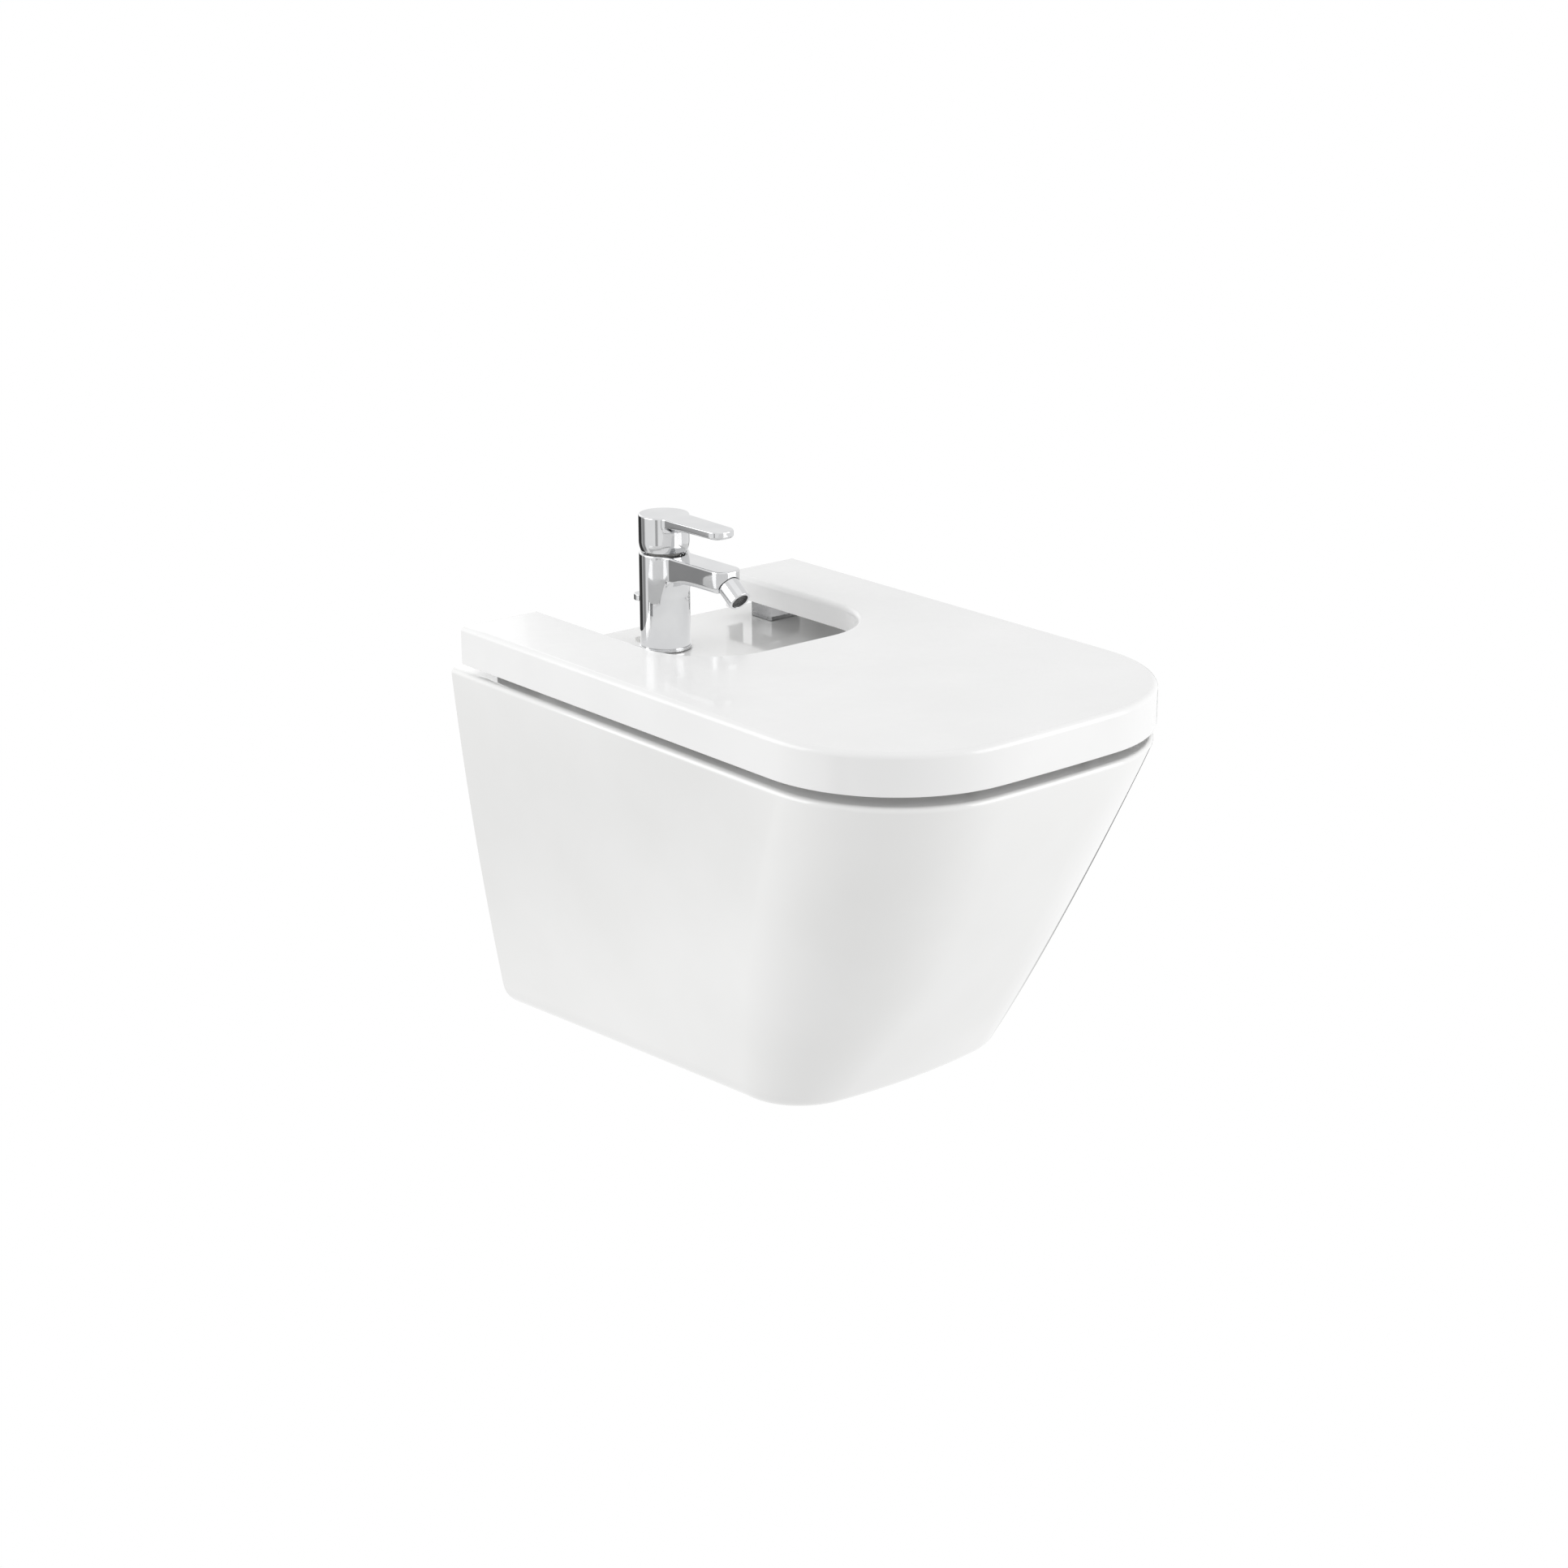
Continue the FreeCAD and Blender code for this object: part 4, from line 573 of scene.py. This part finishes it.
def choose(kind, test):
    """Selects the edges or faces whose middle passes a test, in millimetres."""
    bpy.ops.mesh.select_mode(type=kind)
    bpy.ops.mesh.select_all(action="DESELECT")
    mesh = bmesh.from_edit_mesh(bpy.context.edit_object.data)
    for item in (mesh.edges if kind == "EDGE" else mesh.faces):
        middle = item.calc_center_median() if kind == "FACE" else (item.verts[0].co + item.verts[1].co) / 2
        item.select_set(test(item, middle / MM))
    mesh.select_flush_mode()
    bmesh.update_edit_mesh(bpy.context.edit_object.data)


def hinge_block(name, side):
    """A block with two ears, on the right (1) or the left (-1)."""
    bpy.ops.object.select_all(action="DESELECT")
    bpy.ops.mesh.primitive_cube_add(size=MM, location=(side * HINGE_X * MM, HINGE_Y * MM, BLOCK_Z * MM),
                                    scale=BLOCK_SIZE)
    block = bpy.context.object
    block.name = block.data.name = name
    bpy.ops.object.transform_apply(location=True, rotation=True, scale=True)
    bpy.ops.object.mode_set(mode="EDIT")
    for place, way in (((131, 0, 0), (1, 0, 0)), ((146, 0, 0), (1, 0, 0)), ((0, -49.5, 0), (0, 1, 0))):
        bpy.ops.mesh.select_all(action="SELECT")
        bpy.ops.mesh.bisect(plane_co=(side * place[0] * MM, place[1] * MM, 0), plane_no=way)
    choose("FACE", lambda face, at: face.normal.z > 0.9 and at.y > -49 and abs(abs(at.x) - HINGE_X) > 7.5)
    bpy.ops.mesh.extrude_region_move(TRANSFORM_OT_translate={"value": (0, 0, EAR_HEIGHT * MM)})
    choose("EDGE", lambda edge, at: at.z > 120 and abs(edge.verts[0].co.y - edge.verts[1].co.y) < 0.1 * MM)
    bpy.ops.mesh.bevel(offset=EAR_ROUND * MM, segments=10, affect="EDGES")
    bpy.ops.mesh.select_all(action="DESELECT")
    bpy.ops.mesh.edges_select_sharp(sharpness=math.radians(50))
    bpy.ops.mesh.bevel(offset=BROKEN_EDGE * MM, segments=3, affect="EDGES", clamp_overlap=True)
    bpy.ops.object.mode_set(mode="OBJECT")
    return block


for name, side in (("right", 1), ("left", -1)):
    settle(hinge_block("hinge_casting_" + name, side), "root", ["hinge_block_" + name], "hinge_metal")

# %% [markdown]
# Turned pieces come off a lathe, so each is given by its profile: radius and distance along the axis. The
# spin operator would do, but the rolled sheet already merges the seam and closes the ends. A ring's profile
# comes back to its first point, and a solid piece's starts and ends on the axis.

# %% Turned pieces
def turned(name, profile, centre, axis=(0, 0, 1), columns=96):
    """A piece turned about an axis through a centre."""
    tilt = Vector(axis).to_track_quat("Z", "Y")
    turns = [2 * math.pi * column / columns for column in range(columns)]
    rings = []
    for radius, along in profile:
        circle = [Vector((radius * math.cos(turn), radius * math.sin(turn), along)) for turn in turns]
        rings.append([Vector(centre) + tilt @ point for point in circle])
    return rolled_sheet(name, rings)


def bend(radius, along, size, start, end, steps=6):
    """Profile points of a small round about (radius, along); angles in degrees from the outward way."""
    turns = [math.radians(start + (end - start) * step / steps) for step in range(steps + 1)]
    return [(radius + size * math.cos(turn), along + size * math.sin(turn)) for turn in turns]


ring = [(16.7, 85.85), (16.7, 88.0)]
ring += bend(22.3, 87.4, 0.6, 90, 0)
ring += bend(22.6, 86.15, 0.3, 0, -90)
ring += [(16.7, 85.85)]
settle(turned("foot_ring", ring, (0, TAP_Y, 0)), "root", ["tap_base_ring"], "chrome")

knob = [(0, 121.4)]
knob += bend(7.5, 121.9, 0.5, -90, 0)
knob += bend(7.4, 126.2, 0.6, 0, 90)
knob += [(0, 126.9)]
settle(turned("rod_knob", knob, (0, ROD_Y, 0)), "lift_rod", ["lift_knob"], "chrome")

# %% [markdown]
# The spray nozzle sits on a ball at the spout's end. It is a short tube, rounded at the back to part of a
# sphere that swings in the spout's cup, with a thin bright lip round the outlet. It is turned like the ring,
# about a slanting axis, and its inside is part of the same profile.

# %% The spray nozzle
NOZZLE, NOZZLE_WAY = (0, -154.7, 155.6), (0, -0.809017, -0.587785)
BACK_BALL = 9.75

outlet = [(3.5, 6.0), (3.5, 8.0), (8.4, 8.0), (8.4, 15.7), (7.5, 15.7)]
lip = bend(7.8, 16.1, 0.3, 180, 90) + bend(9.25, 15.9, 0.5, 90, 0)
turns = [math.radians(turn) for turn in (0, 6, 12, 18, 24, 27.4)]
back = [(BACK_BALL * math.cos(turn), -BACK_BALL * math.sin(turn)) for turn in turns]
socket = [(7.75, -4.48), (7.75, -1.0), (6.7, 0.5), (6.0, 3.0), (3.5, 6.0)]
nozzle = turned("spray_nozzle", outlet + lip + back + socket, NOZZLE, NOZZLE_WAY)
settle(nozzle, "nozzle", ["nozzle_shell"], "chrome", 50)

# %% [markdown]
# The tap body and the lever handle are both cast with an arm. Seen from above each is a circle with an arm
# to the front and a round in each corner between them. A union of a cylinder and a bar would need its bevels
# laid along a curved joint, which often fails, so this is one sheet too. Below the arm there is only the
# circle, so the same columns lie on the circle there; the rows that follow swell out under the arm, run along
# its underside, round its lower edge and climb to the top.

# %% The outline of a column with an arm
BACK, BLEND, ARM, FADE = 28, 10, 14, 8
AXIS = Vector((0, 0))


def ease(value):
    """Goes from 0 to 1 without a sudden start or end."""
    value = max(0.0, min(1.0, value))
    return value * value * (3 - 2 * value)


def arm_outline(radius, half, reach, tip, bow, taper, root, edge):
    """Points round a column with an arm, those of the bare column, and how round the arm's lower edge is."""
    blend = Vector((half + root, -math.sqrt((radius + root) ** 2 - (half + root) ** 2)))
    start, neck = math.atan2(blend.y, blend.x), -math.acos(half / radius)
    right = arc(AXIS, radius, math.pi / 2, start, BACK)
    bare = right + arc(AXIS, radius, start, neck, BLEND)
    right += arc(blend, root, start + math.pi, math.pi, BLEND)
    nose = tongue(half, 0, -reach, tip, bow, taper)[SIDE:SIDE + CORNER + FRONT + 1]
    right += [Vector((half, blend.y)).lerp(nose[0], step / ARM) for step in range(ARM)] + nose
    fade = [ease(step / FADE) for step in range(ARM + len(nose))]
    sides = [half - edge * share for share in fade[:FADE]]
    bare += [Vector((side, -math.sqrt(radius ** 2 - side ** 2))) for side in sides]
    slim = -math.acos((half - edge) / radius)
    bare += arc(AXIS, radius, slim, -math.pi / 2, ARM - FADE + len(nose) - 1) + [Vector((0, -radius))]
    fade = [0.0] * (BACK + BLEND) + fade
    whole = right + mirrored(right[1:-1])
    return whole, bare + mirrored(bare[1:-1]), fade + fade[-2:0:-1]


def drawn_in(points, distances):
    """Each point moved into the outline by its own distance."""
    moved = []
    for count, (point, distance) in enumerate(zip(points, distances)):
        way = points[(count + 1) % len(points)] - points[count - 1]
        moved.append(point + Vector((way.y, -way.x)).normalized() * distance)
    return moved


def armed_rows(outline, bare, fade, under, root, edge, top, top_edge, droop):
    """The sheet's rows from below the arm to the top plane, which falls to the front by droop degrees."""
    fall = math.tan(math.radians(droop))
    underside = drawn_in(outline, [edge * share for share in fade])
    rows = []
    for step, turn in enumerate(quarter(10)):
        level = under - root * (1 - math.sin(turn))
        ring = []
        for point, aim in zip(bare, underside):
            way = aim - point
            out = point + way * min(1, root / max(way.length, 0.001)) * (1 - math.cos(turn))
            ring.append(Vector((out.x, out.y, level + out.y * fall * step / 10)))
        rows.append(ring)
    for turn in quarter(8):
        ring = drawn_in(outline, [edge * (1 - math.sin(turn)) * share for share in fade])
        lift = edge * (1 - math.cos(turn))
        rows.append([Vector((point.x, point.y, under + lift + point.y * fall)) for point in ring])
    for turn in quarter(6):
        ring = drawn_in(outline, [top_edge * (1 - math.cos(turn))] * len(outline))
        level = top - top_edge * (1 - math.sin(turn))
        rows.append([Vector((point.x, point.y, level + point.y * fall)) for point in ring])
    return rows


# %% [markdown]
# The tap body is cast with its spout in this way. Its large rounds under the spout and in the corners let the
# column flow into the spout, so that reflections bend from upright to level without a break.

# %% The tap body
TAP_RADIUS, TAP_FOOT, TAP_TOP, SPOUT_DEPTH = 21.85, 88.0, 170.0, 20.0
SHANK_RADIUS, SHANK_END = 16.5, 76.0
PIVOT_Z = 180.0
at_tap = Vector((0, TAP_Y, 0))


def over_the_tap(rows):
    """Rows drawn about the origin, moved to the tap's axis."""
    return [[point + at_tap for point in row] for row in rows]


outline, bare, fade = arm_outline(TAP_RADIUS, half=13.35, reach=92.6, tip=11.0, bow=1.5, taper=0.0,
                                  root=16.0, edge=6.0)
rows = [[Vector((point.x, point.y, TAP_FOOT)) for point in bare]]
rows += armed_rows(outline, bare, fade, under=TAP_TOP - SPOUT_DEPTH, root=18.0, edge=6.0,
                   top=TAP_TOP, top_edge=1.5, droop=0)
body = rolled_sheet("tap_casting", over_the_tap(rows))
shank = [(0, SHANK_END), (SHANK_RADIUS, SHANK_END), (SHANK_RADIUS, TAP_FOOT + 1), (0, TAP_FOOT + 1)]
carve(body, turned("shank", shank, at_tap, columns=64), "UNION")
print("tap body:", [round(size / MM, 1) for size in body.dimensions], "mm")

# %% [markdown]
# Its upper end is hollowed as a dish in which the handle swings, with the chamber of the cartridge below. The
# spout's end is cut off at a slant, with a round hollow for the nozzle, and holes for the two hoses and the
# stud go up into the shank. Turned cutters and drills do all of it, as on the real casting.

# %% The tap body's hollows
SEAT = TAP_RADIUS + 0.35
CHAMBER_RADIUS, CHAMBER_FLOOR, CUP_RADIUS = 17.6, 126.0, 10.35

dish = [(SEAT * math.cos(turn), PIVOT_Z - SEAT * math.sin(turn)) for turn in (0.66, 0.6, 0.54, 0.48, 0.42)]
chamber = [(0, CHAMBER_FLOOR), (CHAMBER_RADIUS, CHAMBER_FLOOR)] + dish + [(0, dish[-1][1])]
carve(body, turned("cartridge_chamber", chamber, at_tap))
slant = [(0, -2.0), (40.0, -2.0), (40.0, 38.0), (0, 38.0)]
carve(body, turned("spout_slant", slant, NOZZLE, NOZZLE_WAY))
bpy.ops.mesh.primitive_uv_sphere_add(segments=64, ring_count=32, radius=CUP_RADIUS * MM,
                                     location=Vector(NOZZLE) * MM)
carve(body, bpy.context.object)
for x in (-8, 8):
    drill(body, 4.8, (x, TAP_Y + 2, SHANK_END - 5), (x, TAP_Y + 2, SHANK_END + 24))
drill(body, 4.0, (0, TAP_Y - 8.5, SHANK_END - 5), (0, TAP_Y - 8.5, SHANK_END + 10))
stem = Vector(NOZZLE) - 14.0 * Vector(NOZZLE_WAY)
drill(body, 2.9, stem, NOZZLE)
settle(body, "root", ["tap_body"], "chrome", 40)

# %% [markdown]
# The lever handle is the upper half of the tap. Its lower end is part of a ball about the point it tilts on,
# so it swings in the body's dish with an even gap, and it is hollow over the cartridge. A small hole at the
# back leads to the grub screw that holds it. The ball's rows simply go before those of the column and arm.

# %% The lever handle
HANDLE_TOP, LEVER_DEPTH, HANDLE_WALL, HANDLE_ROOF = 203.0, 7.0, 2.2, 194.4
SKIRT_DROP, SKIRT_ROWS = 8.0, 8
GRUB_Z = 191.4


def skirt_rows(radius, points):
    """Rows of the ball-shaped lower end, from its lower edge up to the pivot's level."""
    rows = []
    for step in range(SKIRT_ROWS + 1):
        turn = math.asin(SKIRT_DROP / radius) * (1 - step / SKIRT_ROWS)
        size = radius * math.cos(turn) / TAP_RADIUS
        level = PIVOT_Z - radius * math.sin(turn)
        rows.append([Vector((point.x * size, point.y * size, level)) for point in points])
    return rows


outline, bare, fade = arm_outline(TAP_RADIUS, half=14.0, reach=86.0, tip=10.5, bow=2.0, taper=2.2,
                                  root=6.5, edge=2.5)
rows = skirt_rows(TAP_RADIUS, bare)
rows += armed_rows(outline, bare, fade, under=HANDLE_TOP - LEVER_DEPTH, root=6.5, edge=2.5,
                   top=HANDLE_TOP, top_edge=1.2, droop=0.2)
handle = rolled_sheet("lever_casting", over_the_tap(rows))

inside = TAP_RADIUS - HANDLE_WALL
hollow = [(0, 171.0), (17.95, 171.0)]
hollow += [(inside * math.cos(turn), PIVOT_Z - inside * math.sin(turn)) for turn in (0.42, 0.31, 0.2, 0.1, 0)]
hollow += [(inside, HANDLE_ROOF), (0, HANDLE_ROOF)]
carve(handle, turned("handle_hollow", hollow, at_tap, columns=64))
bpy.ops.mesh.primitive_cylinder_add(vertices=40, radius=8.5 * MM, depth=8 * MM,
                                    location=(0, TAP_Y * MM, 192.4 * MM))
carve(handle, bpy.context.object, "UNION")
drill(handle, 2.6, (0, TAP_Y + 4, GRUB_Z), (0, TAP_Y + 30, GRUB_Z))
settle(handle, "lever", ["lever_handle"], "chrome", 40)

# %% [markdown]
# The object is shown in a white photo studio without a floor line. The world is white to the camera and in
# reflections, where a strength of 1 is white, and gives a softer, even light to the surfaces themselves. A
# white backdrop would do the same, but it would have to be lit.

# %% The white studio
scene = bpy.context.scene
scene.view_settings.view_transform = "Standard"
studio = bpy.data.worlds.new("studio")
scene.world = studio
studio.use_nodes = True
tree = studio.node_tree
even_light = tree.nodes["Background"]
even_light.inputs["Color"].default_value = (1, 1, 1, 1)
even_light.inputs["Strength"].default_value = 0.75
white = tree.nodes.new("ShaderNodeBackground")
white.inputs["Color"].default_value = (1, 1, 1, 1)
white.inputs["Strength"].default_value = 1.0
path = tree.nodes.new("ShaderNodeLightPath")
seen = path.outputs["Is Camera Ray"]
for kind in ("Is Glossy Ray", "Is Transmission Ray"):
    larger = tree.nodes.new("ShaderNodeMath")
    larger.operation = "MAXIMUM"
    tree.links.new(seen, larger.inputs[0])
    tree.links.new(path.outputs[kind], larger.inputs[1])
    seen = larger.outputs["Value"]
choice = tree.nodes.new("ShaderNodeMixShader")
tree.links.new(seen, choice.inputs["Fac"])
tree.links.new(even_light.outputs["Background"], choice.inputs[1])
tree.links.new(white.outputs["Background"], choice.inputs[2])
tree.links.new(choice.outputs["Shader"], tree.nodes["World Output"].inputs["Surface"])
print("studio world with", len(tree.nodes), "nodes")

# %% [markdown]
# Two large soft boxes stand far to the left and to the right, and a weak one hangs above, so the corner that
# points at the camera stays a little darker than the faces beside it. Another weak one behind reaches into
# the lid's notch. Polished metal looks flat in a white room, so grey and black flags stand where only
# reflections can see them. They fade towards their edges, as a flag does that stands near the lens. A card
# that glows by itself but lights nothing lies over the deck and the basin in the same way: a painted
# reflection of a brightly lit deck, for the tap's column to mirror.

# %% Soft boxes and flags
AIM = Vector((0, -270, 0))


def facing(place, side):
    """The turn that points one side of an object at the bidet."""
    return (AIM - Vector(place)).to_track_quat(side, "Y").to_euler()


def soft_box(name, place, size, watts):
    """A square lamp that points at the bidet."""
    bpy.ops.object.light_add(type="AREA", location=Vector(place) * MM, rotation=facing(place, "-Z"))
    lamp = bpy.context.object
    lamp.name = lamp.data.name = name
    lamp.data.size, lamp.data.energy = size * MM, watts
    print("soft box", name, "of", watts, "W")


def fading(material, edge):
    """Lets a sheet fade from the share edge of its half size outwards, and leaves its rear side clear."""
    tree = material.node_tree
    where = tree.nodes.new("ShaderNodeTexCoord")
    split = tree.nodes.new("ShaderNodeSeparateXYZ")
    rear = tree.nodes.new("ShaderNodeNewGeometry")
    tree.links.new(where.outputs["Object"], split.inputs["Vector"])
    solid = tree.nodes.new("ShaderNodeMath")
    solid.operation = "SUBTRACT"
    solid.inputs[0].default_value = 1.0
    tree.links.new(rear.outputs["Backfacing"], solid.inputs[1])
    for axis in ("X", "Y"):
        size = tree.nodes.new("ShaderNodeMath")
        size.operation = "ABSOLUTE"
        tree.links.new(split.outputs[axis], size.inputs[0])
        fall = tree.nodes.new("ShaderNodeMapRange")
        fall.interpolation_type = "SMOOTHSTEP"
        fall.inputs["From Min"].default_value = 0.5 * MM
        fall.inputs["From Max"].default_value = 0.5 * edge * MM
        tree.links.new(size.outputs["Value"], fall.inputs["Value"])
        both = tree.nodes.new("ShaderNodeMath")
        both.operation = "MULTIPLY"
        tree.links.new(solid.outputs["Value"], both.inputs[0])
        tree.links.new(fall.outputs["Result"], both.inputs[1])
        solid = both
    tree.links.new(solid.outputs["Value"], tree.nodes["Principled BSDF"].inputs["Alpha"])


def flag(name, place, width, height, tone, edge=0.35):
    """A sheet of cloth on a frame that only reflections see."""
    bpy.ops.mesh.primitive_grid_add(x_subdivisions=6, y_subdivisions=6, size=MM, location=Vector(place) * MM,
                                    rotation=facing(place, "Z"))
    sheet = bpy.context.object
    sheet.name = sheet.data.name = name
    sheet.scale = (width, height, 1)
    dark, pale = (tone, tone, tone), (1.2 * tone, 1.2 * tone, 1.2 * tone)
    cloth = finish(name, (dark, pale, 4), (0.8, 0.9, 20, EVEN), (60, 0.5, 0.2))
    fading(cloth, edge)
    sheet.data.materials.append(cloth)
    sheet.visible_camera = sheet.visible_diffuse = sheet.visible_shadow = False
    return sheet


soft_box("left_box", (-1700, 700, 700), 1500, 15)
soft_box("right_box", (1100, -2000, 500), 1500, 16)
soft_box("top_box", (0, -500, 1900), 1600, 1.5)
soft_box("rear_box", (600, 1800, 900), 1000, 2)
flag("black_behind", (60, 1930, -600), 2500, 1800, 0.02, 0.5)
flag("grey_left", (-1170, 1560, -600), 1100, 1800, 0.30)
flag("grey_side", (-2150, -780, -600), 700, 1800, 0.45)
flag("black_right", (1930, 850, -600), 450, 1800, 0.05)
# The deck card glows white and lights nothing: a painted reflection of a lit deck, seen only in the chrome
# and the glaze.
card = flag("deck_glow_reflection", (0, -275, 89), 344, 500, 0.05, 0.85)
card.rotation_euler = (0, 0, 0)
glow = card.data.materials[0].node_tree.nodes["Principled BSDF"].inputs
glow["Emission Color"].default_value = (1, 1, 1, 1)
glow["Emission Strength"].default_value = 0.9

# %% [markdown]
# The camera stands to the front left, a little above the lid. A long lens from far away keeps the bowl's
# sides from running together, as in a catalogue.

# %% The camera
CAMERA_PLACE, LENS = (-1448.67, -1941.66, 758.84), 65.34
DOWN, ROLL, HEADING = 18.65, 0.07, -40.17

bpy.ops.object.camera_add(location=Vector(CAMERA_PLACE) * MM,
                          rotation=(math.radians(90 - DOWN), math.radians(ROLL), math.radians(HEADING)))
camera = bpy.context.object
camera.data.sensor_width, camera.data.lens = 36, LENS
scene.camera = camera
print("camera with a", round(camera.data.lens, 1), "mm lens")
